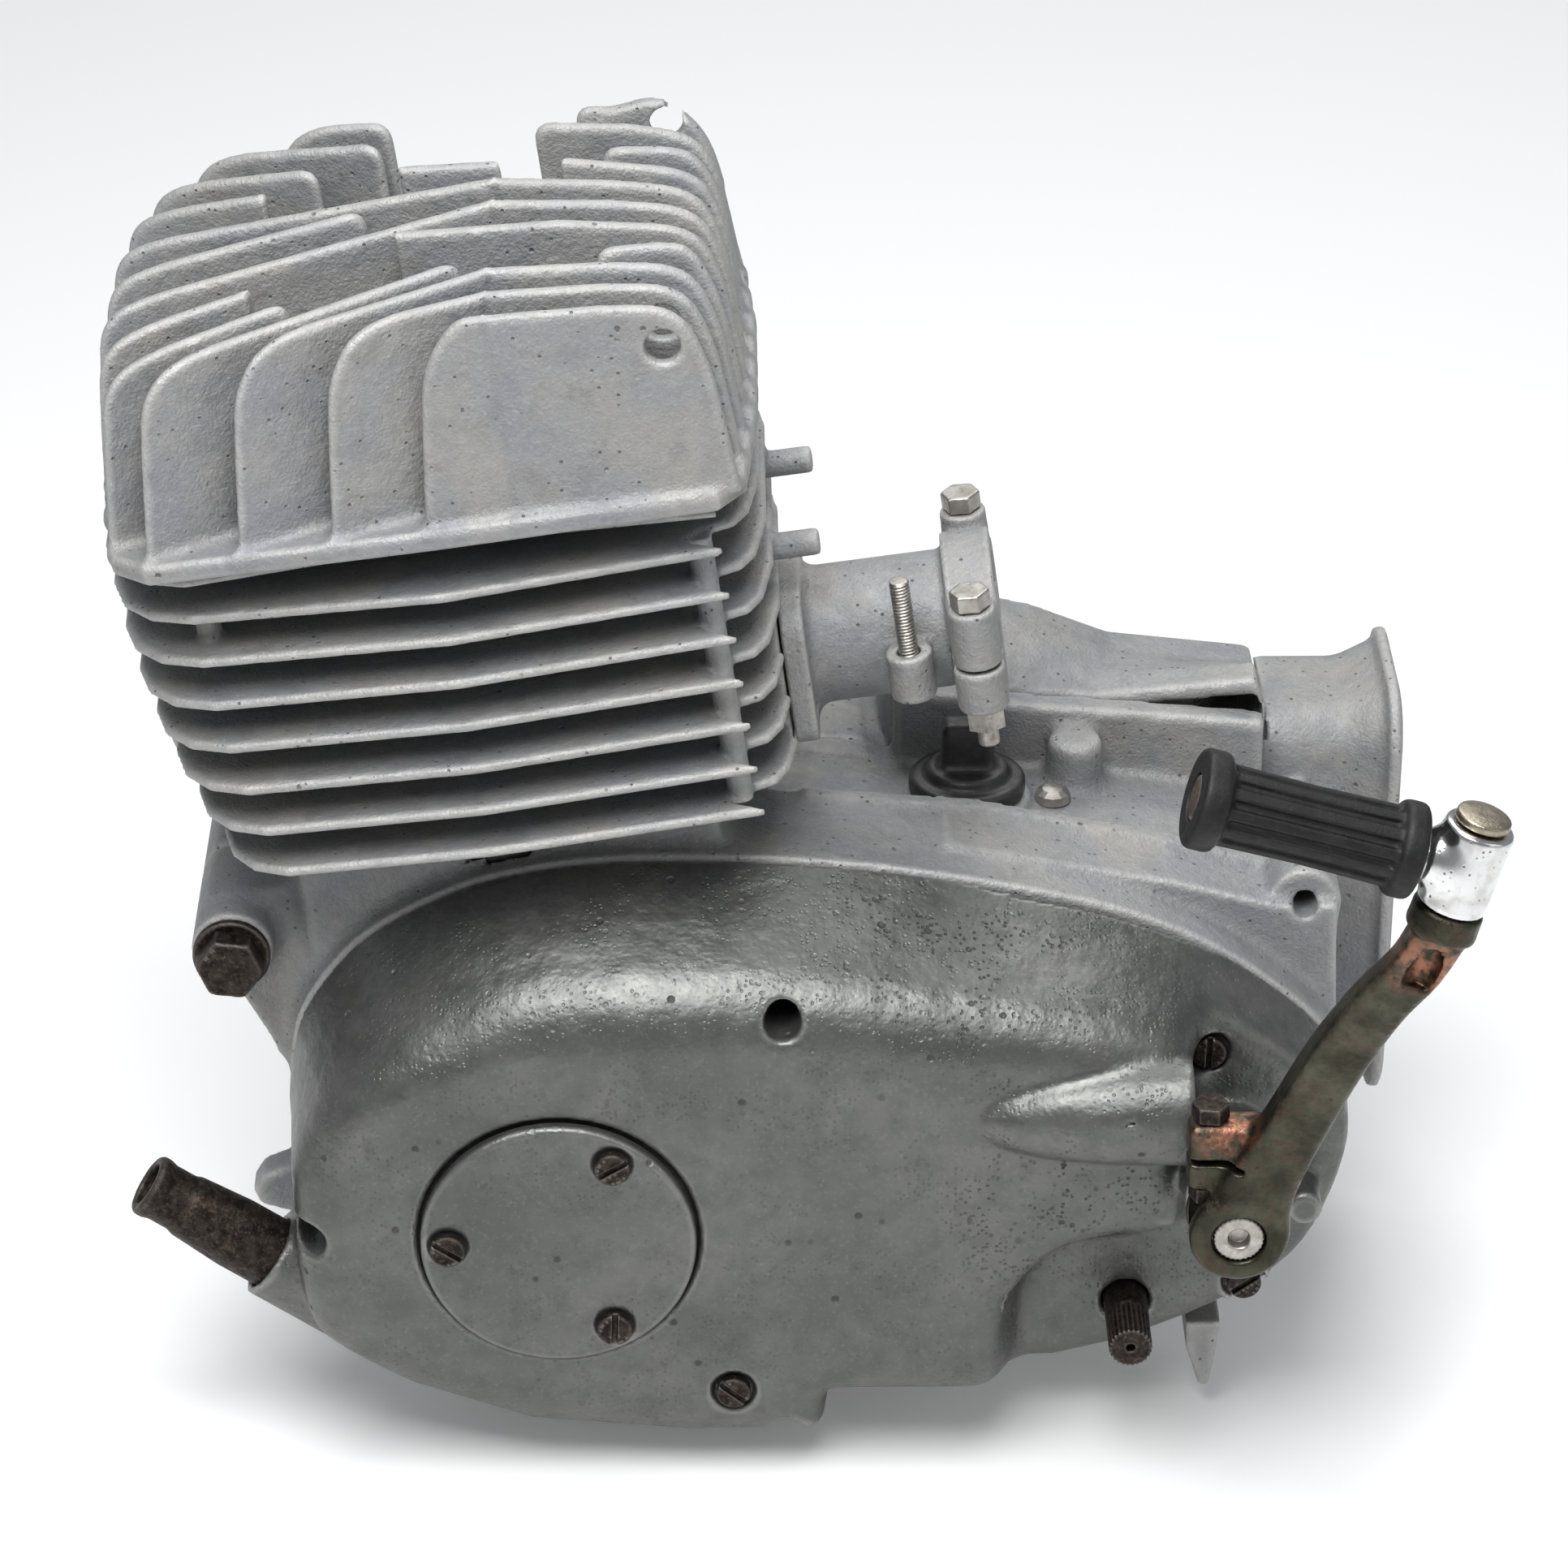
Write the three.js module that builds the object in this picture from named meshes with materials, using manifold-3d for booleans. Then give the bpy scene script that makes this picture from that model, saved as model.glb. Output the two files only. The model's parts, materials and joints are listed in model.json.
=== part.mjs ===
// An air-cooled single-cylinder two-stroke motorcycle engine with a built-in gearbox, a kick starter on the
// left and a chain drive on the right. Millimetres; +X to the rear, +Y to the right-hand side, +Z up. The
// origin is on the flat sole of the crankcase, straight below the crankshaft. Every physical piece is one
// named mesh.
import * as THREE from "three";
import { mergeVertices } from "three/addons/utils/BufferGeometryUtils.js";
import Module from "manifold-3d";

const wasm = await Module();
wasm.setup();

// ---------------------------------------------------------------- driving dimensions
const GAP = 0.3; // clearance between pieces that touch
const CRANK_Z = 82; // crank axis above the sole
const LEAN = THREE.MathUtils.degToRad(8); // the cylinder leans forward
const SPLIT_Y = -4; // joint between the crankcase halves
const COVER_JOINT_Y = -45; // left joint, crankcase to clutch cover
const COVER_FACE_Y = -92; // outer face of the clutch cover
const RECESS_Y = -70; // stepped-back face round the kick and shift shafts
const RIGHT_JOINT_Y = 46;
const RIGHT_FACE_Y = 96;
const WALL = 5; // casting wall

const BORE_R = 34.5;
const LINER_R = 38.5;
const STROKE = 65;
const ROD_LENGTH = 138;
const WEB_R = 56;
const CHAMBER_R = 59;
const ROD_SWEEP_R = 66; // groove in the chamber that the big end of the rod swings through
const GROOVE_HALF = 10;
const DECK_H = 104; // heights along the cylinder axis are counted from the crank axis
const BARREL_TOP_H = 212;
const FIN_PITCH = 13.4;
const FIN_H0 = 115.4; // underside of the lowest cylinder fin
const FIN_THICK = 4;
const HEAD_BASE_H = BARREL_TOP_H + 1.3;
const HEAD_BASE_THICK = 6;
const CROWN_H = 277; // height of the head fins at the middle
const HEAD_FIN_PITCH = 15.3;
const HEAD_FIN_THICK = 4.6;
const HEAD_SIDE_V = 76.5; // plane of the outermost head fins
const HEAD_SEAM_U = 24; // where the two mould halves of the head meet
const PORT_H = 132; // inlet axis
const EXHAUST_H = 150;

const MAIN_SHAFT = [104, 89]; // gearbox shafts, x and z
const OUTPUT_SHAFT = [152, 104];
const KICK_SHAFT = [188.4, 99.5];
const SHIFT_SHAFT = [162, 45];
const PINION_TEETH = 23;
const GEAR_TEETH = 29;

// ---------------------------------------------------------------- materials
function finish(color, roughness, metalness) {
  return new THREE.MeshStandardMaterial({ color, roughness, metalness });
}
const CAST = finish(0xa9aaab, 0.6, 0.75); // bead-blasted aluminium
const POLISHED = finish(0x8e9092, 0.4, 0.9); // worn polished aluminium
const STEEL = finish(0x77726a, 0.45, 0.95);
const DARK_STEEL = finish(0x3a332d, 0.55, 0.85);
const RUBBER = finish(0x17171a, 0.8, 0);
const PAINTED = finish(0x8f8d80, 0.5, 0.4);
const CHROME = finish(0xc9c9c9, 0.2, 1);
const GASKET = finish(0x4a4038, 0.9, 0);
const CERAMIC = finish(0xece8df, 0.3, 0);
const IRON = finish(0x55534f, 0.6, 0.9);

// ---------------------------------------------------------------- solids
// A closed geometry as a manifold-3d solid.
function solid(geometry) {
  const bare = geometry.index ? geometry.toNonIndexed() : geometry.clone();
  for (const name of ["normal", "uv"]) bare.deleteAttribute(name);
  const merged = mergeVertices(bare, 1e-4);
  return new wasm.Manifold(
    new wasm.Mesh({
      numProp: 3,
      vertProperties: new Float32Array(merged.attributes.position.array),
      triVerts: new Uint32Array(merged.index.array),
    }),
  );
}

function geometryOf(body) {
  const mesh = body.getMesh();
  const geometry = new THREE.BufferGeometry();
  geometry.setAttribute("position", new THREE.BufferAttribute(new Float32Array(mesh.vertProperties), 3));
  geometry.setIndex(new THREE.BufferAttribute(new Uint32Array(mesh.triVerts), 1));
  return geometry;
}

const join = (...bodies) => bodies.flat().reduce((a, b) => a.add(b));
const cut = (body, ...tools) => tools.flat().reduce((a, b) => a.subtract(b), body);

const shapeOf = (outline) => new THREE.Shape(outline.map(([a, b]) => new THREE.Vector2(a, b)));

// An x,z outline given thickness from y0 to y1.
function plate(outline, y0, y1) {
  const geometry = new THREE.ExtrudeGeometry(shapeOf(outline), { depth: y1 - y0, bevelEnabled: false });
  return solid(geometry.rotateX(Math.PI / 2).translate(0, y1, 0));
}

// A plan outline (x, y) given height from z0 to z1.
function slab(outline, z0, z1) {
  const geometry = new THREE.ExtrudeGeometry(shapeOf(outline), { depth: z1 - z0, bevelEnabled: false });
  return solid(geometry.translate(0, 0, z0));
}

function box(x0, x1, y0, y1, z0, z1) {
  const geometry = new THREE.BoxGeometry(x1 - x0, y1 - y0, z1 - z0);
  return solid(geometry.translate((x0 + x1) / 2, (y0 + y1) / 2, (z0 + z1) / 2));
}

// A round bar along Y at x, z.
function discY(radius, [x, z], y0, y1, segments = 16) {
  return solid(new THREE.CylinderGeometry(radius, radius, y1 - y0, segments).translate(x, (y0 + y1) / 2, z));
}

// A round bar along Z at x, y.
function discZ(radius, [x, y], z0, z1, segments = 16) {
  const geometry = new THREE.CylinderGeometry(radius, radius, z1 - z0, segments).rotateX(Math.PI / 2);
  return solid(geometry.translate(x, y, (z0 + z1) / 2));
}

// A round bar along X at y, z.
function discX(radius, [y, z], x0, x1, segments = 16) {
  const geometry = new THREE.CylinderGeometry(radius, radius, x1 - x0, segments).rotateZ(Math.PI / 2);
  return solid(geometry.translate((x0 + x1) / 2, y, z));
}

// A body of revolution: profile pairs are (radius, distance along the axis), from a start point in a
// direction.
function turned(profile, start, direction, segments = 16) {
  const geometry = new THREE.LatheGeometry(profile.map(([r, s]) => new THREE.Vector2(r, s)), segments);
  const axis = new THREE.Vector3(...direction).normalize();
  const turn = new THREE.Quaternion().setFromUnitVectors(new THREE.Vector3(0, 1, 0), axis);
  return solid(geometry.applyQuaternion(turn).translate(...start));
}

// A solid through rings of equally many points, ring by ring, closed by the flat first and last ring.
function loft(rings) {
  const count = rings[0].length;
  const positions = rings.flat().flat();
  const index = [];
  for (let r = 0; r + 1 < rings.length; r++)
    for (let i = 0; i < count; i++) {
      const [a, b] = [r * count + i, r * count + ((i + 1) % count)];
      index.push(a, b, b + count, a, b + count, a + count);
    }
  const ends = [[rings[0], 0, true], [rings.at(-1), (rings.length - 1) * count, false]];
  for (const [ring, first, reversed] of ends) {
    const origin = new THREE.Vector3(...ring[0]);
    const along = new THREE.Vector3(...ring[1]).sub(origin).normalize();
    const spokes = ring.map((p) => new THREE.Vector3(...p).sub(origin));
    const normal = new THREE.Vector3();
    spokes.forEach((spoke, i) => normal.add(spoke.clone().cross(spokes[(i + 1) % count])));
    const across = normal.normalize().clone().cross(along);
    const flat = spokes.map((spoke) => new THREE.Vector2(spoke.dot(along), spoke.dot(across)));
    for (const [a, b, c] of THREE.ShapeUtils.triangulateShape(flat, []))
      index.push(...(reversed ? [first + a, first + c, first + b] : [first + a, first + b, first + c]));
  }
  const geometry = new THREE.BufferGeometry();
  geometry.setAttribute("position", new THREE.BufferAttribute(new Float32Array(positions), 3));
  geometry.setIndex(index);
  const made = solid(geometry);
  if (made.volume() > 0) return made;
  for (let i = 0; i < index.length; i += 3) [index[i + 1], index[i + 2]] = [index[i + 2], index[i + 1]];
  geometry.setIndex(index);
  return solid(geometry);
}

// A polygon whose corners are rounded: each corner is [x, z, radius].
function rounded(corners, steps = 3) {
  const points = [];
  corners.forEach(([x, z, radius = 0], i) => {
    const here = new THREE.Vector2(x, z);
    if (!radius) return points.push([x, z]);
    const toPrevious = new THREE.Vector2(...corners.at(i - 1)).sub(here).normalize();
    const toNext = new THREE.Vector2(...corners[(i + 1) % corners.length]).sub(here).normalize();
    const half = toPrevious.angleTo(toNext) / 2;
    const reach = radius / Math.tan(half);
    const from = here.clone().addScaledVector(toPrevious, reach);
    const to = here.clone().addScaledVector(toNext, reach);
    const curve = new THREE.QuadraticBezierCurve(from, here, to);
    for (const p of curve.getPoints(steps)) points.push([p.x, p.y]);
  });
  return points;
}

// The frame of the cylinder: its Z is the cylinder axis, from the crank axis up.
const lean = new THREE.Matrix4().makeRotationY(-LEAN);
const barrelMatrix = new THREE.Matrix4().makeTranslation(0, 0, CRANK_Z).multiply(lean);
const leaning = (body) => body.transform(barrelMatrix.toArray());

const engine = new THREE.Group();
const upper = new THREE.Group(); // everything on the leaning cylinder axis
upper.position.z = CRANK_Z;
upper.rotation.y = -LEAN;
engine.add(upper);

function add(name, body, material, group = engine) {
  const mesh = new THREE.Mesh(geometryOf(body), material);
  mesh.name = name;
  group.add(mesh);
  return mesh;
}

// ---------------------------------------------------------------- left side outline
// Outline of the clutch cover at its joint, clockwise from the low front: [x, z].
const COVER_TOP = [
  [-78, 100], [-75, 125], [-66, 142], [-54, 155], [-38, 165], [-19, 173], [8, 178], [38, 179],
  [70, 177.5], [106, 173], [152, 163], [182, 151], [204, 136], [219, 121], [226, 103],
];
const COVER_END = [[222, 79], [211, 57], [189, 40], [161, 27]];
const COVER_BOTTOM = [
  [142, 22], [79, 22], [78, 11], [74, 8], [36, 7.5], [-10, 12], [-45, 25], [-64, 37], [-74, 48], [-77.5, 70],
];
const COVER_OUTLINE = [...COVER_TOP, ...COVER_END, ...COVER_BOTTOM];
const SHOULDER = 20; // how far the domed top edge of the cover falls from the joint to the face

// The cover outline drawn in: the top by the shoulder, the foot by the draft, both rounded as t goes from 0
// to 1.
function coverRing(t, y, inset = 0) {
  const fall = 1 - Math.cos((t * Math.PI) / 2);
  const centre = [60, 92];
  return COVER_OUTLINE.map(([x, z], i) => {
    const top = i < COVER_TOP.length;
    const rise = top ? Math.max(0, Math.min(1, (z - 100) / 50)) : 0;
    const [dx, dz] = [centre[0] - x, centre[1] - z];
    const reach = Math.hypot(dx, dz);
    const push = inset + fall * (3 + 6 * rise);
    return [x + (dx / reach) * push, y, z + (dz / reach) * push - fall * rise * (SHOULDER - 9)];
  });
}

// ---------------------------------------------------------------- crankcase
const MOUNT_BOSS = [-92, 149];
const BEARING_R = 31;
const SOLE = [[-34, 0], [122, 0], [126, 24], [60, 30], [-44, 40]];

function boresOfCase() {
  return [
    discY(CHAMBER_R, [0, CRANK_Z], -26, 26, 28),
    discY(ROD_SWEEP_R, [0, CRANK_Z], -GROOVE_HALF, GROOVE_HALF, 24),
    discY(BEARING_R, [0, CRANK_Z], -42.5, 42.5, 28),
    discY(17, [0, CRANK_Z], -50, 50, 20),
    discY(15, MAIN_SHAFT, -50, 42, 18),
    discY(14, OUTPUT_SHAFT, -30, 60, 18),
    discY(10, KICK_SHAFT, -50, -30, 16),
    discY(7, SHIFT_SHAFT, -50, -12, 14),
    discY(6.2, MOUNT_BOSS, -60, 60, 16),
    leaning(discZ(LINER_R + 0.6, [0, 0], 50, DECK_H + 2, 28)),
  ];
}
const GEARBOX = [[72, 52], [128, 36], [172, 46], [200, 78], [198, 126], [150, 148], [84, 152], [70, 128]];

function crankcaseLeft() {
  const [y0, y1] = [COVER_JOINT_Y + GAP, SPLIT_Y - GAP / 2];
  const body = plate(COVER_OUTLINE, y0, y1);
  const sole = plate(SOLE, y0, y1);
  const deck = leaning(box(-60, 60, y0, y1, 70, DECK_H));
  const arm = plate([[-60, 100], [-81, 108], [-98, 140], [-98, 158], [-50, 172]], -34, y1);
  const boss = discY(11.5, MOUNT_BOSS, y0, y1, 24);
  const lip = plate([[110, 160], [110, 176], [175, 163], [205, 154], [222, 154], [224, 100]], -24, y1);
  const lug = discY(10, [213, 152], -24, y1, 20);
  const rearLug = plate([[180, 44], [181, 22], [185, 9], [188, 9], [190, 22], [192, 48]], -62, -36);
  const tab = plate([[-72, 50], [-89, 56], [-91, 61], [-88, 66], [-72, 74]], -34, -22);
  const pocket = plate(GEARBOX, -32, y1 + 1);
  const lugHole = discY(3.3, [213, 152], -30, -10, 12);
  const shell = cut(join(body, sole, deck, arm, boss, lip, lug), pocket, lugHole, boresOfCase());
  return join(shell, cut(rearLug, box(170, 200, -62, -36.7, 30, 60)), tab);
}

const RIGHT_TOP = [[97, 160], [97, 188], [138, 182], [164, 180], [206, 176]];
const OIL_PLUG = [118, 18]; // plan position, x and y
const TOP_SCREW = [143, 18];
const RIGHT_OUTLINE = [
  [-76, 82], [-72, 112], [-58, 138], [-34, 156], [0, 166], [60, 168], [88, 166], ...RIGHT_TOP,
  [207, 52], [190, 36], [152, 24], [110, 16], [40, 7], [-10, 10], [-46, 26], [-68, 50],
];
const RIGHT_BODY = [
  [-76, 82], [-72, 112], [-58, 138], [-34, 160], [0, 170], [60, 168], [96, 164], [160, 160], [205, 152],
  [222, 150], [224, 100], [211, 57], [189, 40], [152, 26], [110, 18], [40, 8], [-10, 12], [-46, 26],
  [-68, 50],
];
const COLLAR = { x0: 207, x1: 247, y0: 44, y1: 94, z0: 50, z1: 174 };

function crankcaseRight() {
  const [y0, y1] = [SPLIT_Y + GAP / 2, RIGHT_JOINT_Y - GAP];
  const body = plate(RIGHT_BODY, y0, y1);
  const flange = plate(RIGHT_OUTLINE, 37, y1);
  const sole = plate(SOLE, y0, y1);
  const deck = leaning(box(-60, 60, y0, y1 - 2, 70, DECK_H));
  const arm = plate([[-60, 100], [-81, 108], [-98, 140], [-98, 158], [-50, 172]], y0, 34);
  const boss = discY(11.5, MOUNT_BOSS, y0, y1, 24);
  const { x0, x1, z0, z1 } = COLLAR;
  const tunnel = collarTube([0, 0, 4], [x0 - 4, x1 - 14, x1 - 2]);
  const rim = collarTube([8, 8], [x1 - 3.5, x1]);
  const opening = collarTube([-WALL, -WALL, -1, 2], [x0 - 10, x1 - 14, x1 - 3, x1 + 1]);
  const outerHalf = box(150, x0 + GAP, y1, 120, z0 - 20, z1 + 30);
  const pocket = plate(GEARBOX, y0 - 1, 33);
  const plugHole = discZ(8.6, OIL_PLUG, 130, 175, 16);
  const screwHole = discZ(2.6, TOP_SCREW, 150, 175, 10);
  const pad = discZ(18, OIL_PLUG, 150, 164.4, 24);
  const breatherBoss = discZ(8, [150, 30], 150, 176, 12);
  const shell = cut(join(body, flange, sole, deck, arm, boss, pad, breatherBoss), pocket, boresOfCase());
  const collar = cut(join(tunnel, rim), opening, outerHalf);
  return cut(join(shell, collar), box(170, 208, y1 - 0.1, 120, z0 + 4, z1 - 4), plugHole, screwHole);
}

// The chain tunnel: a rounded tube along X through stations, each grown by its own margin.
function collarTube(margins, stations) {
  const { y0, y1, z0, z1 } = COLLAR;
  const rings = stations.map((x, i) => {
    const m = margins[i];
    const [near, far, low, high] = [y0 - m, y1 + m, z0 - m, z1 + m];
    const corners = [[near, low, 12], [far, low, 12], [far, high, 18], [near, high, 14]];
    return rounded(corners).map(([y, z]) => [x, y, z]);
  });
  return loft(rings);
}

// ---------------------------------------------------------------- clutch cover and what is on it
const COVER_HOLES = [[63, 151], [-70.5, 80], [64, 13]]; // deep counterbores for screws that sit inside
const COVER_SCREWS = [[49, 29.5, COVER_FACE_Y], [183, 129, RECESS_Y], [196, 51, RECESS_Y]];
const INSPECTION_R = 38.8;
const TACHO_START = [-66, -62, 46];
const TACHO_AXIS = [-0.82, 0, 0.57];
const TACHO_R = 10.4;
const STEP = [
  [126, -10], [128, 49], [132, 61], [141, 71], [152, 75], [172, 79], [177, 92], [177, 190], [250, 190],
  [250, -10],
];

function clutchCover() {
  const rings = [0, 0.36, 0.7, 0.9, 1].map((t) => {
    const y = COVER_JOINT_Y + (COVER_FACE_Y - COVER_JOINT_Y) * Math.sin((t * Math.PI) / 2);
    return coverRing(t, y);
  });
  const innerStations = [[0, COVER_JOINT_Y + 1], [0.6, -80], [0.9, COVER_FACE_Y + WALL]];
  const inner = innerStations.map(([t, y]) => coverRing(t, y, WALL));
  const recess = plate(STEP, -110, RECESS_Y);
  // the clutch cable's housing: a half-buried cone that opens to the rear
  const cone = new THREE.SphereGeometry(1, 18, 10).scale(54, 13, 15);
  const mouthSide = box(118, 176.8, -120, -80, 90, 160);
  const nacelle = solid(cone.translate(176, COVER_FACE_Y + 1, 123)).intersect(mouthSide);
  const kickSleeve = discY(12.5, KICK_SHAFT, -101, RECESS_Y + 1, 24);
  const tachoBoss = turned([[0, 0], [13, 0], [13, 22], [0, 22]], TACHO_START, TACHO_AXIS, 18);
  const innerTrim = plate(STEP, RECESS_Y + WALL - 26, RECESS_Y + WALL);
  const hollow = cut(loft(inner), innerTrim);
  const envelope = cut(loft(rings), recess);
  const outer = join(envelope, nacelle, kickSleeve);
  const screwSeats = COVER_SCREWS.map(([x, z, y]) => discY(5.9, [x, z], y - 1, y + 2.6, 16));
  const holes = COVER_HOLES.map((at) => discY(5.4, at, -110, COVER_FACE_Y + 34, 16));
  const pillars = [...COVER_HOLES, ...COVER_SCREWS].map((at) =>
    discY(7.5, at, COVER_FACE_Y + 1, COVER_JOINT_Y, 12).intersect(envelope));
  const body = join(cut(join(outer, tachoBoss), hollow), pillars);
  return cut(
    body,
    holes,
    screwSeats,
    discY(INSPECTION_R + 0.7, [0, CRANK_Z], COVER_FACE_Y - 1, COVER_FACE_Y + 2.5, 40),
    discY(INSPECTION_R - 5, [0, CRANK_Z], COVER_FACE_Y - 1, -80, 32),
    discY(8.4, KICK_SHAFT, -110, -60, 20),
    discY(6.8, SHIFT_SHAFT, -110, -60, 16),
    turned([[0, 0], [TACHO_R + 0.4, 0], [TACHO_R + 0.4, 40], [0, 40]], TACHO_START, TACHO_AXIS, 18),
    discX(4.6, [-95, 123], 140, 190, 14),
    box(-200, 300, COVER_JOINT_Y - GAP / 2, 0, -50, 300),
  );
}

// The head of a slotted cheese-head screw, driven along +Y: its outer face at y.
function slottedScrew([x, z], y, headRadius, slotAngle) {
  const profile = [[0, 0], [headRadius - 0.8, 0], [headRadius, 0.8], [headRadius, 3.4], [0, 3.4]];
  const head = turned(profile, [x, y, z], [0, 1, 0]);
  const slot = solid(new THREE.BoxGeometry(headRadius * 2.4, 2.4, 1.3).rotateY(slotAngle).translate(x, y, z));
  return cut(head, slot);
}

const hexagon = (acrossFlats, [x, z], y0, y1) => discY(acrossFlats / Math.sqrt(3), [x, z], y0, y1, 6);

// ---------------------------------------------------------------- right cover
function rightCover() {
  const centre = [60, 90];
  const ring = (inset, lift, y) =>
    RIGHT_OUTLINE.map(([x, z]) => {
      const [dx, dz] = [centre[0] - x, centre[1] - z];
      const reach = Math.hypot(dx, dz);
      const share = x > 92 ? THREE.MathUtils.clamp((z - 158) / 20, 0, 1) : 0;
      return [x + (dx / reach) * inset, y, z + (dz / reach) * inset + lift * share];
    });
  const outer = loft([
    ring(0, 0, RIGHT_JOINT_Y), ring(0, 9, 58), ring(0, 14, 72), ring(1, 13, 84), ring(4, 8, 91),
    ring(12, 0, RIGHT_FACE_Y),
  ]);
  const hollow = loft([
    ring(WALL, 0, RIGHT_JOINT_Y - 1), ring(WALL, 9, 70), ring(WALL + 8, 0, RIGHT_FACE_Y - WALL),
  ]);
  const capProfile = [[0, 0], [46, 0], [46, 2.5], [43, 4], [0, 4]];
  const cap = turned(capProfile, [0, RIGHT_FACE_Y - 0.5, CRANK_Z], [0, 1, 0], 32);
  const mouth = box(180, 225, 52, 88, 60, 164);
  const seats = RIGHT_SCREWS.map((at) => discY(5.9, at, 84, 110, 14));
  return cut(join(cut(outer, hollow), cap), mouth, seats);
}
const RIGHT_SCREWS = [[-52, 100], [112, 168], [150, 40], [28, 22]];

// ---------------------------------------------------------------- cylinder
// Plan outline of one cylinder fin, its front scaled: chevron sides, and a scallop at each rear corner by a
// peg.
function finPlan(scale, halfWidth) {
  const front = [[-68, 73.5], [-80, 68], [-88, 58], [-92, 44], [-94, 0]].map(([u, v]) => [u * scale, v]);
  const rear = [[86, 30], [83, 50], [79, 57], [71, 60], [66.5, 63], [67, 67], [77, 73.3]];
  const side = [...rear, [0, halfWidth], ...front];
  return [...side, ...side.toReversed().slice(1).map(([u, v]) => [u, -v])];
}

const PEGS = [[69, -61.5], [69, 61.5], [-66, -60], [-66, 60]];
const STUDS = [[33, 33], [33, -33], [-33, 33], [-33, -33]];
const PORT_FACE_U = 84;

function cylinder() {
  const fins = [];
  for (let i = 0; i < 8; i++) {
    const scale = 1 - 0.0046 * Math.max(6 - i, 0) ** 2;
    const h = i < 7 ? FIN_H0 + FIN_PITCH * i : 207;
    fins.push(slab(finPlan(scale, i < 7 ? 77 + 0.5 * i : 68), h, h + FIN_THICK));
  }
  const barrel = discZ(48, [0, 0], DECK_H + 1.2, BARREL_TOP_H, 28);
  const footPlan = [[-60, -38], [-54, -44], [54, -44], [60, -38], [60, 38], [54, 44], [-54, 44], [-60, 38]];
  const foot = slab(footPlan, DECK_H + 1.2, DECK_H + 9);
  const collars = STUDS.map((at) => discZ(9, at, DECK_H + 2, BARREL_TOP_H, 8));
  const pegs = PEGS.map(([u, v]) => discZ(3.5, [u, v], FIN_H0 + 1, FIN_H0 + 6 * FIN_PITCH + 2, 6));
  const exhaust = discX(27, [0, EXHAUST_H], -90, -30, 20);
  const inlet = box(30, PORT_FACE_U - GAP, -27, 27, PORT_H - 22, PORT_H + 22);
  const rearPegs = [[14, 180], [-14, 168]].map(([v, h]) => discX(3.6, [v, h], 80, 99, 6));
  return cut(
    join(fins, barrel, foot, collars, pegs, exhaust, inlet, rearPegs),
    box(PORT_FACE_U - GAP, 120, -34, 34, PORT_H - 24, PORT_H + 24),
    discZ(LINER_R + GAP, [0, 0], 90, 230, 28),
    STUDS.map((at) => discZ(4.6, at, 90, 230, 8)),
    discX(19, [0, EXHAUST_H], -100, -30, 16),
    discX(14, [0, PORT_H], 30, 120, 16),
    [-20, 20].map((v) => discX(2.9, [v, PORT_H - 14], 60, 90, 8)),
  );
}

// ---------------------------------------------------------------- head
// The front half has fins in a fan: each runs from u, v where it begins to u, v at its front end.
const FAN_FINS = [
  [[24, -76.5], [-1, -77.5]], [[24, -61.2], [-26, -77.5]], [[24, -45.9], [-51, -77.5]],
  [[16, -34.3], [-76, -76]], [[-30, -44], [-87, -66]], [[-35.5, -29], [-90, -44]], [[24, 0], [-92, -22]],
  [[-12, 9], [-92, 0]], [[24, 15.3], [-92, 22]], [[-32, 33], [-90, 44]], [[-27.5, 45], [-85, 61]],
  [[-10, 55], [-74, 74]], [[-8, 70], [-50, 77.5]],
];
// The rear half has fins straight to the rear: where each begins and its rear end, from left to right.
const STRAIGHT_FINS = [
  [24, 83.5], [24, 84.5], [24, 85.5], [52, 86], [-2, 86.5], [24, 86.5],
  [24, 86], [-3, 86], [52, 85.5], [33, 85], [44, 84],
];
// The tops are crowned, and behind the seam they fall away to the right.
const headTop = (u, v) => CROWN_H - 0.0014 * u ** 2 - 0.0012 * (v + 30) * Math.max(u - HEAD_SEAM_U, 0);

function fanFin([[u0, v0], [u1, v1]]) {
  const slope = (v1 - v0) / (u1 - u0);
  const free = u0 < HEAD_SEAM_U ? 1 : 0;
  const front = u1 + 16;
  const middle = (u0 + front) / 2;
  const outline = rounded([
    [u0, 214, 0], [u0, headTop(u0, 0) - 2 * free, 5 * free], [middle, headTop(middle, 0), 0],
    [front, headTop(front, 0), 6], [u1 + 7, 264, 10], [u1 + 4, 246, 0], [u1, 214, 0],
  ], 2);
  const fin = plate(outline, -HEAD_FIN_THICK / 2, HEAD_FIN_THICK / 2);
  const shear = [1, slope, 0, 0, 0, 1, 0, 0, 0, 0, 1, 0, 0, v0 - slope * u0, 0, 1];
  return fin.transform(shear);
}

function straightFin([u0, u1], index) {
  const v = (index - 5) * HEAD_FIN_PITCH;
  const free = u0 > HEAD_SEAM_U ? 1 : 0;
  const middle = (u0 + u1) / 2;
  const outline = rounded([
    [u0 - 0.4, 214, 0], [u0 - 0.4, headTop(u0, v) - 2 * free, 5 * free],
    [middle, headTop(middle, v), 0], [u1 - 8, headTop(u1 - 8, v), 7], [u1 - 2.5, 252, 5], [u1, 214, 0],
  ], 2);
  return plate(outline, v - HEAD_FIN_THICK / 2, v + HEAD_FIN_THICK / 2);
}

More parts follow.
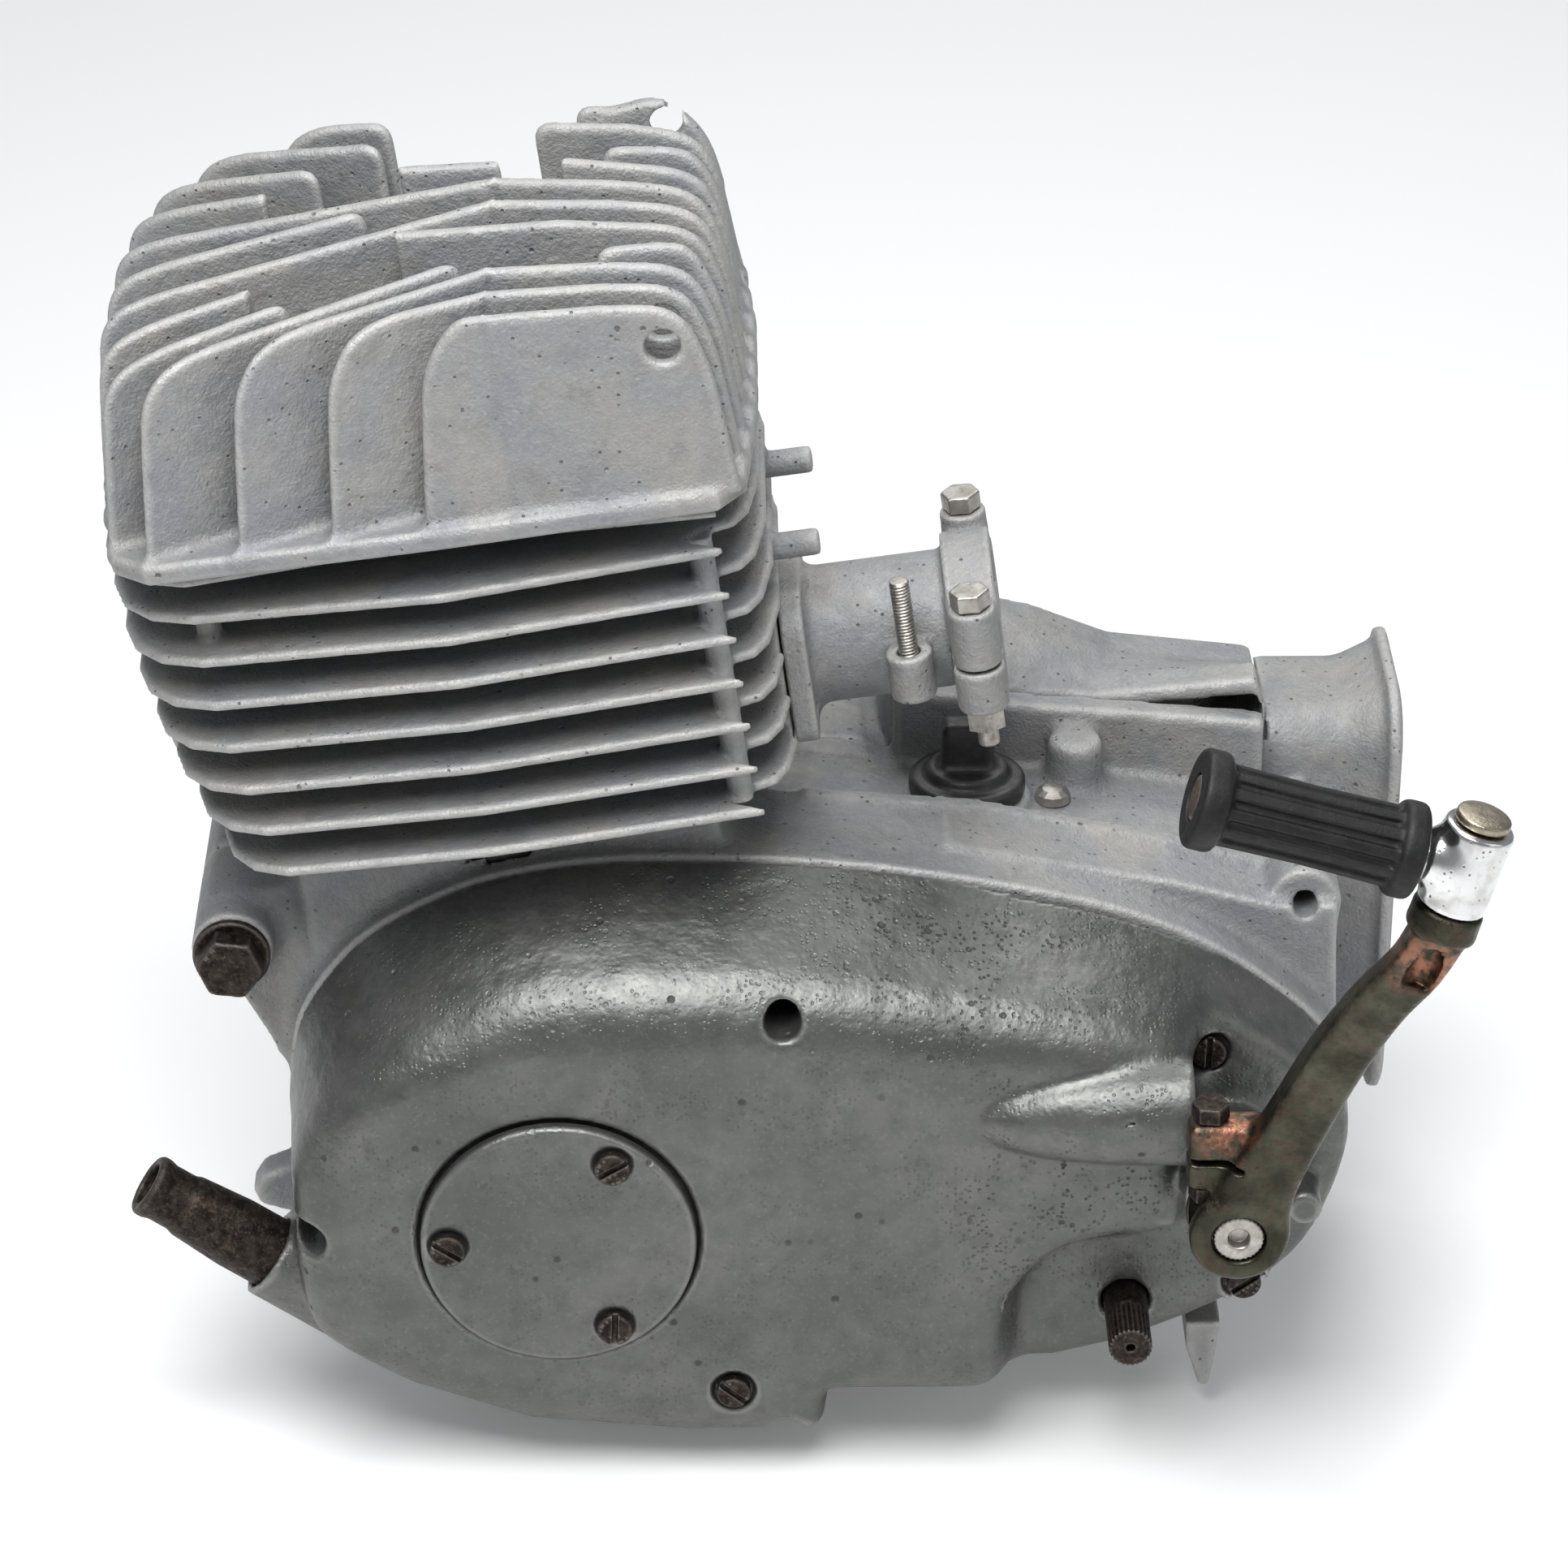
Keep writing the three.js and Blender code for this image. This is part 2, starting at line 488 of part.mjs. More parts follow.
const HEAD_PLAN = [
  [-76, -81.5], [-86, -72], [-92, -30], [-92, 30], [-86, 72], [-76, 81.5], [0, 83], [77, 81.5], [84.5, 72],
  [88, 30], [88, -30], [84.5, -72], [77, -81.5], [0, -83],
];
const HEAD_BOLT = [69, 261.5]; // cross hole through the outer fins
const PLUG_SEAT = [8, 26, 232];
const PLUG_AXIS = [0.05, 0.5, 0.86];
const onPlug = (s) => PLUG_SEAT.map((c, i) => c + (PLUG_AXIS[i] * s) / Math.hypot(...PLUG_AXIS));

function cylinderHead() {
  const base = slab(HEAD_PLAN, HEAD_BASE_H, HEAD_BASE_H + HEAD_BASE_THICK);
  const dome = turned([[0, 0], [50, 0], [46, 14], [30, 22], [0, 24]], [0, 0, HEAD_BASE_H], [0, 0, 1], 24);
  const columns = STUDS.map((at) => discZ(11.5, at, HEAD_BASE_H + 1, 238, 12));
  const ear = plate(
    [[44, 255], [44, 263], [58, 268], [65, 269], [71, 267], [76, 261], [79, 253], [82, 240], [70, 240]],
    HEAD_SIDE_V - 2.6, HEAD_SIDE_V + 2.6,
  );
  const chamber = solid(new THREE.SphereGeometry(1, 18, 10).scale(32, 32, 13).translate(0, 0, HEAD_BASE_H));
  return cut(
    join(FAN_FINS.map(fanFin), STRAIGHT_FINS.map(straightFin), base, dome, columns, ear),
    chamber,
    turned([[0, 0], [14, 0], [16, 60], [0, 60]], onPlug(4), PLUG_AXIS, 16),
    turned([[0, 0], [7.3, 0], [7.3, 30], [0, 30]], onPlug(-20), PLUG_AXIS, 12),
    discY(4.8, HEAD_BOLT, -90, -55, 14),
    discY(4.8, HEAD_BOLT, 70, 90, 14),
    STUDS.map((at) => discZ(4.6, at, 205, 300, 8)),
    STUDS.map((at) => discZ(9, at, 238, 300, 12)),
  );
}

// ---------------------------------------------------------------- inlet stub with its split clamp
const CLAMP_U = [131, 145];
function inletStub() {
  const pipe = discX(19.5, [0, PORT_H], PORT_FACE_U + 1, CLAMP_U[1] - 10, 24);
  const outline = rounded([
    [-30, PORT_H - 21, 9], [30, PORT_H - 21, 9], [26, PORT_H + 21, 12], [-26, PORT_H + 21, 12],
  ], 2);
  const flange = loft([PORT_FACE_U + GAP, PORT_FACE_U + 7].map((u) => outline.map(([v, h]) => [u, v, h])));
  const ring = discX(24, [0, PORT_H], CLAMP_U[0], CLAMP_U[1], 24);
  const ears = [-31, 31].map((v) => discZ(7.5, [138, v], PORT_H + 0.6, PORT_H + 18, 16));
  const webs = box(CLAMP_U[0] + 1, CLAMP_U[1] - 1, -31, 31, PORT_H + 0.6, PORT_H + 14);
  const stopBoss = discZ(6.5, [119, -25], PORT_H - 10, PORT_H + 4, 16);
  const stopWeb = box(114, 124, -24, -10, PORT_H - 8, PORT_H + 3);
  const lower = box(CLAMP_U[0] - 0.4, 160, -60, 60, 80, PORT_H + 0.6);
  return cut(
    cut(join(pipe, flange, ring, ears, webs, stopBoss, stopWeb), lower),
    discX(14, [0, PORT_H], 60, 160, 20),
    discX(17.5, [0, PORT_H], CLAMP_U[0] - 6, 160, 20),
    [-31, 31].map((v) => discZ(3.4, [138, v], 100, 170, 10)),
    discZ(3.3, [119, -25], PORT_H - 6, 160, 12),
    [-20, 20].map((v) => discX(2.9, [v, PORT_H - 14], 70, 92, 8)),
  );
}

function clampCap() {
  const ring = discX(24, [0, PORT_H], CLAMP_U[0], CLAMP_U[1], 24);
  const ears = [-31, 31].map((v) => discZ(7.2, [138, v], PORT_H - 13, PORT_H, 16));
  const webs = box(CLAMP_U[0] + 1, CLAMP_U[1] - 1, -31, 31, PORT_H - 10, PORT_H);
  return cut(
    join(ring, ears, webs),
    box(120, 160, -60, 60, PORT_H - GAP / 2, 200),
    discX(17.5, [0, PORT_H], 120, 160, 20),
    [-31, 31].map((v) => discZ(3.4, [138, v], 100, 170, 10)),
  );
}

// A hexagon bolt along -h: head on top at h, shank down.
function clampBolt(v) {
  const head = discZ(5.8, [138, v], PORT_H + 18.4, PORT_H + 23.5, 6);
  return join(head, discZ(3, [138, v], PORT_H - 25, PORT_H + 19, 12));
}

function clampNut(v) {
  return cut(discZ(5.8, [138, v], PORT_H - 19, PORT_H - 13.4, 6), discZ(3.3, [138, v], 90, 150, 12));
}

// ---------------------------------------------------------------- kick lever and its folding pedal
const PEDAL_TILT = THREE.MathUtils.degToRad(16);
const PEDAL_PIVOT = [240, -145, 232.5];
const PIN_AXIS = [Math.sin(PEDAL_TILT), 0, Math.cos(PEDAL_TILT)];
const PEDAL_AXIS = [-Math.cos(PEDAL_TILT), 0, Math.sin(PEDAL_TILT)];
const along = (point, axis, s) => point.map((c, i) => c + axis[i] * s);

// A bar of rectangular section through stations [x, y, z, width across in the x-z plane, thickness along y].
function bar(stations) {
  const rings = stations.map(([x, y, z, width, thick], i) => {
    const [before, after] = [stations[Math.max(0, i - 1)], stations[Math.min(stations.length - 1, i + 1)]];
    const run = Math.hypot(after[0] - before[0], after[2] - before[2]);
    const [nx, nz] = [(after[2] - before[2]) / run, -(after[0] - before[0]) / run];
    const corner = (s, t) => [x + nx * s * width / 2, y + t * thick / 2, z + nz * s * width / 2];
    return [corner(-1, -1), corner(1, -1), corner(1, 1), corner(-1, 1)];
  });
  return loft(rings);
}

const PINCH_BOLT = [180, -111]; // plan position, x and y

function kickLever() {
  const hub = discY(13, KICK_SHAFT, -121, -103, 28);
  const arm = bar([
    [190, -112, 104, 24, 16], [194.5, -115, 118, 20, 14], [201.5, -119, 135, 17, 12.5],
    [211.5, -126, 162, 16.5, 11.5], [221, -134, 184, 15.5, 11], [229.5, -140, 199, 15, 11],
    [234.5, -145, 213, 15, 12],
  ]);
  const eye = turned([[0, 0], [9.5, 0], [9.5, 8], [0, 8]], along(PEDAL_PIVOT, PIN_AXIS, -20.6), PIN_AXIS, 20);
  const ear = box(174, 196, -117, -106, 112.8, 133.2);
  return cut(
    join(hub, arm, eye, ear),
    discY(7.5, KICK_SHAFT, -130, -100, 20),
    turned([[0, 0], [4.2, 0], [4.2, 30], [0, 30]], along(PEDAL_PIVOT, PIN_AXIS, -30), PIN_AXIS, 16),
    discZ(3.3, PINCH_BOLT, 104, 145, 10),
    discZ(6.2, PINCH_BOLT, 90, 112.8, 12),
  );
}

function pedalArm() {
  const barrelProfile = [[0, 0], [9, 0], [9, 23.4], [8, 24.4], [0, 24.4]];
  const barrel = turned(barrelProfile, along(PEDAL_PIVOT, PIN_AXIS, -12.3), PIN_AXIS, 18);
  const rodProfile = [[0, 0], [7.4, 0], [7.4, 10], [6.4, 12], [6.4, 74.2], [0, 74.2]];
  const rod = turned(rodProfile, PEDAL_PIVOT, PEDAL_AXIS, 14);
  const boreProfile = [[0, 0], [4.2, 0], [4.2, 40], [0, 40]];
  const bore = turned(boreProfile, along(PEDAL_PIVOT, PIN_AXIS, -16), PIN_AXIS, 12);
  return cut(join(barrel, rod), bore);
}

function pedalRubber() {
  const profile = [
    [6.7, 13.4], [13, 13.4], [13, 19.5], [11, 20.5], [10.6, 44], [11, 66.5], [13.4, 67.5], [13.4, 74.5],
    [6.7, 74.5], [6.7, 13.4],
  ];
  return turned(profile, PEDAL_PIVOT, PEDAL_AXIS, 18);
}

function pedalPin() {
  const profile = [[0, 0], [3.8, 0], [3.8, 33.4], [7.2, 33.4], [7.2, 35.6], [6, 36.6], [0, 36.6]];
  return turned(profile, along(PEDAL_PIVOT, PIN_AXIS, -20.8), PIN_AXIS, 20);
}

// ---------------------------------------------------------------- gears and shafts
// A straight-toothed wheel of pitch radius r, with tooth number 0 pointing at an angle.
function toothed(teeth, radius, [x, z], y0, y1, phase, bore, height = 1.9) {
  const points = [];
  for (let i = 0; i < teeth; i++) {
    const pitch = (2 * Math.PI) / teeth;
    const tooth = [[-0.27, -height * 1.15], [-0.12, height], [0.12, height], [0.27, -height * 1.15]];
    for (const [share, r] of tooth) {
      const angle = phase + (i + share) * pitch;
      points.push([x + (radius + r) * Math.cos(angle), z + (radius + r) * Math.sin(angle)]);
    }
  }
  return cut(plate(points, y0, y1), discY(bore, [x, z], y0 - 1, y1 + 1, 20));
}

const shaft = ([x, z], profile, segments) => turned(profile, [x, 0, z], [0, 1, 0], segments);

// ================================================================ assembly
add("crankcase_left", crankcaseLeft(), CAST);
add("crankcase_right", crankcaseRight(), CAST);
add("clutch_cover", clutchCover(), POLISHED);
add("right_cover", rightCover(), CAST);

const inspectionScrews = [0, 1, 2].map((i) => {
  const angle = Math.PI + (i * 2 * Math.PI) / 3;
  return [31 * Math.cos(angle), CRANK_Z + 31 * Math.sin(angle)];
});
const inspectionProfile = [
  [0, 0], [INSPECTION_R - 7, 0], [INSPECTION_R - 7, 9], [INSPECTION_R, 9], [INSPECTION_R, 12],
  [INSPECTION_R - 2, 14], [0, 14],
];
add("inspection_cover", cut(
  turned(inspectionProfile, [0, COVER_FACE_Y + 10.5, CRANK_Z], [0, -1, 0], 40),
  inspectionScrews.map((at) => discY(5.6, at, -110, -94.9, 16)),
), POLISHED);
inspectionScrews.forEach((at, i) => {
  add("inspection_screw_" + (i + 1), slottedScrew(at, -98.6, 5, i + 0.6), DARK_STEEL);
});
COVER_SCREWS.forEach(([x, z, y], i) => {
  add("cover_screw_" + (i + 1), slottedScrew([x, z], y - 1.4, 4.9, i * 0.9 + 0.7), DARK_STEEL);
});

add("front_mount_bolt", join(
  hexagon(17, MOUNT_BOSS, -56, -48.6), discY(5.8, MOUNT_BOSS, -50, 58, 16),
), DARK_STEEL);
add("front_mount_washer", cut(
  discY(11, MOUNT_BOSS, -48.2, -45.4, 24), discY(6.2, MOUNT_BOSS, -60, 0, 16),
), DARK_STEEL);
add("front_mount_nut", cut(
  hexagon(17, MOUNT_BOSS, 46.2, 54), discY(6.2, MOUNT_BOSS, 40, 60, 16),
), DARK_STEEL);

const tachoProfile = [
  [0, 5.8], [TACHO_R, 5.8], [TACHO_R, 34], [9.3, 50], [8.6, 52], [8.6, 58.5], [9.2, 60.5], [9.2, 62.6],
  [8.4, 63.6], [0, 63.6],
];
add("tacho_socket", cut(
  turned(tachoProfile, TACHO_START, TACHO_AXIS, 18),
  turned([[0, 22], [6.2, 22], [6.2, 70], [0, 70]], TACHO_START, TACHO_AXIS, 12),
), DARK_STEEL);

add("oil_filler_plug", join(
  turned([[0, 0], [16, 0], [17.4, 2], [17.4, 7], [15, 9], [0, 9]], [...OIL_PLUG, 164.8], [0, 0, 1], 20),
  box(110, 126, 13, 23, 173, 188), discZ(8, OIL_PLUG, 152, 166, 14),
), RUBBER);
add("case_top_screw", join(
  turned([[0, 0], [5.5, 0], [5, 2.4], [3, 3.6], [0, 3.8]], [...TOP_SCREW, 161.7], [0, 0, 1], 12),
  discZ(2.3, TOP_SCREW, 150, 163, 8),
), STEEL);
add("cable_gaiter", discX(4.2, [-95, 123], 168, 181, 14), RUBBER);

const crankCentre = [0, CRANK_Z];
add("main_bearing_left", cut(
  discY(BEARING_R - GAP, crankCentre, -42, -26, 20), discY(12.4, crankCentre, -60, 0, 16),
), STEEL);
add("main_bearing_right", cut(
  discY(BEARING_R - GAP, crankCentre, 26, 42, 20), discY(12.4, crankCentre, 0, 60, 16),
), STEEL);

add("crank_web_left", shaft(crankCentre, [
  [0, -76.5], [8, -76.5], [9, -62], [12, -61.6], [12, -23.5], [18, -23.5], [18, -22], [WEB_R, -22],
  [WEB_R, -9.8], [0, -9.8],
], 24), STEEL);
add("crank_web_right", shaft(crankCentre, [
  [0, 9.8], [WEB_R, 9.8], [WEB_R, 22], [18, 22], [18, 23.5], [12, 23.5], [12, 48], [9, 48.4], [8, 80],
  [0, 80],
], 24), STEEL);
const gearDistance = Math.hypot(MAIN_SHAFT[0], MAIN_SHAFT[1] - CRANK_Z);
const toGear = Math.atan2(MAIN_SHAFT[1] - CRANK_Z, MAIN_SHAFT[0]);
const pinionR = (gearDistance * PINION_TEETH) / (PINION_TEETH + GEAR_TEETH);
add("primary_pinion", toothed(PINION_TEETH, pinionR, crankCentre, -60, -49, toGear, 12.4), STEEL);
const toPinion = toGear + Math.PI + Math.PI / GEAR_TEETH; // half a tooth on, so that the teeth mesh
add("primary_gear", toothed(
  GEAR_TEETH, gearDistance - pinionR, MAIN_SHAFT, -59.5, -49.5, toPinion, 10.4,
), STEEL);
add("clutch_basket", cut(
  discY(50, crankCentre, -78, -61, 28),
  discY(45, crankCentre, -90, -64.5, 24),
  discY(12.6, crankCentre, -90, -50, 16),
  [0, 1, 2].map((i) => box(-60, 60, -90, -68, -5, 5).rotate([0, i * 60, 0]).translate([0, 0, CRANK_Z])),
), STEEL);
add("clutch_plates", cut(discY(44, crankCentre, -74, -65, 24), discY(18, crankCentre, -90, -50, 16)), IRON);
add("clutch_pressure_plate", cut(
  turned([[0, 0], [44, 0], [44, 2], [24, 3], [16, 5], [0, 5]], [0, -74.4, CRANK_Z], [0, -1, 0], 24),
  discY(9, crankCentre, -79, -70, 16),
), CAST);
add("alternator_rotor", cut(discY(34, crankCentre, 50, 78, 20), discY(9.4, crankCentre, 40, 90, 16)), IRON);
add("alternator_stator", cut(discY(56, crankCentre, 50, 76, 20), discY(36, crankCentre, 40, 90, 20)), IRON);

const PIN_H = ROD_LENGTH - STROKE / 2; // the piston stands at bottom dead centre
const pistonProfile = [[0, -30], [BORE_R - GAP, -30], [BORE_R - GAP, 31], [BORE_R - 4, 34.5], [0, 36]];
add("piston", cut(
  turned(pistonProfile, [0, 0, PIN_H], [0, 0, 1], 24),
  discZ(29, [0, 0], PIN_H - 40, PIN_H + 24, 16),
  discY(8.4, [0, PIN_H], -40, 40, 16),
), CAST, upper);
add("gudgeon_pin", discY(8, [0, PIN_H], -29, 29, 16), STEEL, upper);
add("connecting_rod", cut(
  join(
    discY(12.5, [0, PIN_H], -8, 8, 16), discY(15.5, [0, -STROKE / 2], -8.5, 8.5, 16),
    box(-8, 8, -4, 4, -20, PIN_H - 10),
  ),
  discY(8.4, [0, PIN_H], -20, 20, 16), discY(10.5, [0, -STROKE / 2], -20, 20, 16),
), STEEL, upper);
add("crankpin", discY(10, [0, -STROKE / 2], -9.5, 9.5, 18), STEEL, upper);

add("cylinder", cylinder(), CAST, upper);
add("cylinder_liner", cut(
  discZ(LINER_R, [0, 0], 82, BARREL_TOP_H - GAP, 24), discZ(BORE_R, [0, 0], 60, 240, 24),
  discX(13, [0, PORT_H], 30, 50, 12), discX(16, [0, EXHAUST_H], -50, -30, 12),
), IRON, upper);
const gasketPlan = [
  [-59, -37], [-53, -43], [53, -43], [59, -37], [59, 37], [53, 43], [-53, 43], [-59, 37],
];
add("base_gasket", cut(
  slab(gasketPlan, DECK_H + GAP, DECK_H + 0.9),
  discZ(LINER_R + 1, [0, 0], 90, 120, 20),
  STUDS.map((at) => discZ(5, at, 90, 120, 8)),
), GASKET, upper);
add("head_gasket", cut(
  discZ(42, [0, 0], BARREL_TOP_H + GAP, BARREL_TOP_H + 1, 24), discZ(36, [0, 0], 200, 230, 24),
), GASKET, upper);
add("cylinder_head", cylinderHead(), CAST, upper);
STUDS.forEach((at, i) => {
  const stud = join(discZ(4.2, at, DECK_H + 0.4, 249, 10), discZ(7.4, at, 238.4, 246, 6));
  add("cylinder_stud_" + (i + 1), stud, STEEL, upper);
});
const plugProfile = [
  [0, 0], [7, 0], [7, 12.3], [10.5, 12.3], [10.5, 17], [6, 18], [5, 29], [2.4, 29.5], [2.4, 33], [0, 33],
];
add("spark_plug", turned(plugProfile, onPlug(-8), PLUG_AXIS, 12), CERAMIC, upper);
add("inlet_stub", inletStub(), CAST, upper);
add("clamp_cap", clampCap(), CAST, upper);
[["near", -31], ["far", 31]].forEach(([side, v]) => {
  add("clamp_bolt_" + side, clampBolt(v), STEEL, upper);
  add("clamp_nut_" + side, clampNut(v), STEEL, upper);
});
add("idle_stop_screw", discZ(2.9, [119, -25], PORT_H - 4, PORT_H + 26, 12), STEEL, upper);

add("gearbox_main_shaft", shaft(MAIN_SHAFT, [
  [0, -66], [10, -66], [10, -31], [24, -30.6], [24, -18], [16, -17.6], [16, -4], [20, -3.6], [20, 10],
  [12, 10.4], [12, 40], [0, 40],
], 18), STEEL);
add("gearbox_output_shaft", shaft(OUTPUT_SHAFT, [
  [0, -28], [10, -28], [22, -27.6], [22, -18], [26, -17.6], [26, -6], [24, -5.6], [24, 10], [12, 10.4],
  [12, 64], [9.5, 64.4], [9.5, 84], [0, 84],
], 18), STEEL);
add("chain_sprocket", toothed(17, 36, OUTPUT_SHAFT, 65, 72, 0, 9.9, 3), STEEL);
add("shift_shaft", shaft(SHIFT_SHAFT, [[0, -94], [5.7, -94], [6.3, -93], [6.3, -14], [0, -14]], 20), STEEL);

add("kick_shaft", cut(
  shaft(KICK_SHAFT, [
    [0, -120.4], [6.6, -120.4], [7.1, -119.6], [7.1, -102], [8, -101.4], [8, -34], [0, -34],
  ], 20),
  discY(3, KICK_SHAFT, -125, -117, 12),
), STEEL);
add("kick_lever", kickLever(), PAINTED);
const pinchShank = discZ(3, PINCH_BOLT, 107.8, 134, 10);
const pinchEnds = [[107.8, 112.5], [133.5, 138.3]].map(([z0, z1]) => discZ(5.4, PINCH_BOLT, z0, z1, 6));
add("kick_pinch_bolt", join(pinchShank, pinchEnds), DARK_STEEL);
add("pedal_arm", pedalArm(), CHROME);
add("pedal_rubber", pedalRubber(), RUBBER);
add("pedal_pin", pedalPin(), STEEL);

export default engine;
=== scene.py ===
"""The looks of an air-cooled single-cylinder motorcycle engine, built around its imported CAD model.

Castings are distance fields in millimetres: each is joined and cut with soft fillets, and its surface is
drawn as one closed mesh that stands for the CAD node of the same name. Lengths in the fields are millimetres
in the CAD frame, or in the frame of the leaning cylinder (u to the rear, v to the right, h along the cylinder axis).
"""
import json
import math

import bpy
import numpy as np
from mathutils import Matrix, Vector

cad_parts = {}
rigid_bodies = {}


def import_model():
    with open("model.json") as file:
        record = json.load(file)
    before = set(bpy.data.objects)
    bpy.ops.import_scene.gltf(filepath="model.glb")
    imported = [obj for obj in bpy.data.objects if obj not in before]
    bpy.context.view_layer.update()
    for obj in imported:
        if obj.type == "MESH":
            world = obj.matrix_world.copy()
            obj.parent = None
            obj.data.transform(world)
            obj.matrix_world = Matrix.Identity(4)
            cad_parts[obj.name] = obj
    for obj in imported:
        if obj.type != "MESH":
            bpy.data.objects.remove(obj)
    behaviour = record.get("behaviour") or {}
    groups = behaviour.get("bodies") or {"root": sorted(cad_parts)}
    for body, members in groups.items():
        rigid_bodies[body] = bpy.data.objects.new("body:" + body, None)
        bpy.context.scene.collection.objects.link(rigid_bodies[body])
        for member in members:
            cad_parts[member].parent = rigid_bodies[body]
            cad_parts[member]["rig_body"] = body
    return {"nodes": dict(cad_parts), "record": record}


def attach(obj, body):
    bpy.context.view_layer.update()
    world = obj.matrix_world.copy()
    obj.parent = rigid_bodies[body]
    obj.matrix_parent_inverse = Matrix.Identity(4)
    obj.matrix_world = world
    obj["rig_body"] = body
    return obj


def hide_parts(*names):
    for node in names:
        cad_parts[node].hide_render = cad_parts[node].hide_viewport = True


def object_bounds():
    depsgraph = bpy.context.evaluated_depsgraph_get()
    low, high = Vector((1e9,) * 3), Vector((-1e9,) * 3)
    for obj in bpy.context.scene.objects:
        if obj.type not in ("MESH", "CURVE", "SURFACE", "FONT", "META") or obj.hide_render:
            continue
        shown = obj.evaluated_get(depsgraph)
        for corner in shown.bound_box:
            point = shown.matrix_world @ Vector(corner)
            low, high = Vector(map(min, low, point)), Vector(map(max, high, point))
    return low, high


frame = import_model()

cad_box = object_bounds()
MM = 0.001

# ---------------------------------------------------------------- driving dimensions
GAP = 0.3
CRANK_Z = 82
CRANK = (0, CRANK_Z)  # x and z of the crankshaft
LEAN = math.radians(8)
SPLIT_Y = -4
COVER_JOINT_Y = -45
COVER_FACE_Y = -92
RECESS_Y = -70
RIGHT_JOINT_Y = 46
RIGHT_FACE_Y = 96
WALL = 5
LINER_R = 38.5
CHAMBER_R = 59
ROD_SWEEP_R = 66
GROOVE_HALF = 10
BEARING_R = 31
DECK_H = 104
BARREL_TOP_H = 212
FIN_PITCH = 13.4
FIN_H0 = 115.4
FIN_THICK = 4
HEAD_BASE_H = 213.3
HEAD_BASE_THICK = 6
CROWN_H = 277
HEAD_FIN_PITCH = 15.3
HEAD_FIN_THICK = 4.6
HEAD_SIDE_V = 76.5
HEAD_SEAM_U = 24
PORT_H = 132
EXHAUST_H = 150
PORT_FACE_U = 84
CLAMP_U = (131, 145)
MAIN_SHAFT = (104, 89)
OUTPUT_SHAFT = (152, 104)
KICK_SHAFT = (188.4, 99.5)
SHIFT_SHAFT = (162, 45)
MOUNT_BOSS = (-92, 149)
INSPECTION_R = 38.8
TACHO_START = (-66, -62, 46)
TACHO_AXIS = (-0.82, 0, 0.57)
PEDAL_PIVOT = (240, -145, 232.5)
PEDAL_TILT = math.radians(16)
PINCH_BOLT = (180, -111)
TACHO_R = 10.4
STUDS = [(33, 33), (33, -33), (-33, 33), (-33, -33)]

COVER_TOP = [
    (-78, 100), (-75, 125), (-66, 142), (-54, 155), (-38, 165), (-19, 173), (8, 178), (38, 179),
    (70, 177.5), (106, 173), (152, 163), (182, 151), (204, 136), (219, 121), (226, 103),
]
COVER_END = [(222, 79), (211, 57), (189, 40), (161, 27)]
COVER_FOOT = [(142, 22), (110, 21.5), (79, 21.5), (77.5, 11), (72, 8), (36, 7.5), (-10, 12)]
COVER_FRONT = [(-45, 25), (-64, 37), (-74, 48), (-77.5, 70)]
COVER_HOLES = [(63, 151), (-70.5, 80), (64, 13)]
COVER_SCREWS = [(49, 29.5, COVER_FACE_Y), (183, 129, RECESS_Y), (196, 51, RECESS_Y)]
STEP = [
    (126, -10), (128, 49), (132, 61), (141, 71), (152, 75), (172, 79), (177, 92), (177, 190), (250, 190),
    (250, -10),
]
SOLE = [(-34, 0), (122, 0), (126, 24), (60, 30), (-44, 40)]
GEARBOX = [(72, 52), (128, 36), (172, 46), (200, 78), (198, 126), (150, 148), (84, 152), (70, 128)]
FRONT_ARM = [(-60, 100), (-81, 108), (-98, 140), (-98, 158), (-50, 172)]


# ---------------------------------------------------------------- distance fields
def union(a, b, k=0.0):
    """Both solids, with a fillet of about k where they meet."""
    if not k:
        return np.minimum(a, b)
    h = np.maximum(k - np.abs(a - b), 0) / k
    return np.minimum(a, b) - h * h * k / 4


def meet(a, b, k=0.0):
    """What two solids share, with an edge rounded by about k."""
    return -union(-a, -b, k)


def without(a, b, k=0.0):
    """The first solid less the second, with an edge rounded by about k."""
    return -union(-a, b, k)


def all_of(fields, k=0.0):
    made = fields[0]
    for field in fields[1:]:
        made = union(made, field, k)
    return made


def ease(value, low, high):
    """0 below low, 1 above high, smooth between."""
    t = np.clip((value - low) / (high - low), 0, 1)
    return t * t * (3 - 2 * t)


def polygon(p, q, outline):
    """Distance in the plane p, q to a closed outline, negative inside."""
    outline = list(outline)
    best, inside = np.float32(1e12), False
    for (ap, aq), (bp, bq) in zip(outline, outline[1:] + outline[:1]):
        ep, eq = bp - ap, bq - aq
        if ep == eq == 0:
            continue
        t = np.clip(((p - ap) * ep + (q - aq) * eq) / (ep * ep + eq * eq), 0, 1)
        best = np.minimum(best, (p - ap - t * ep) ** 2 + (q - aq - t * eq) ** 2)
        if eq:
            inside = inside ^ (((aq > q) != (bq > q)) & (p < ap + (q - aq) * ep / eq))
    return np.where(inside, -np.sqrt(best), np.sqrt(best)).astype(np.float32)


def prism(flat, c, low, high, r=0.5):
    """A flat field given thickness along c, its edges rounded by r."""
    a = flat + r
    b = np.abs(c - (low + high) / 2) - (high - low) / 2 + r
    return np.minimum(np.maximum(a, b), 0) + np.hypot(np.maximum(a, 0), np.maximum(b, 0)) - r


def disc(p, q, centre, radius):
    return np.hypot(p - centre[0], q - centre[1]) - radius


def bar(p, q, c, centre, radius, low, high, r=0.5):
    """A round bar along c."""
    return prism(disc(p, q, centre, radius), c, low, high, r)


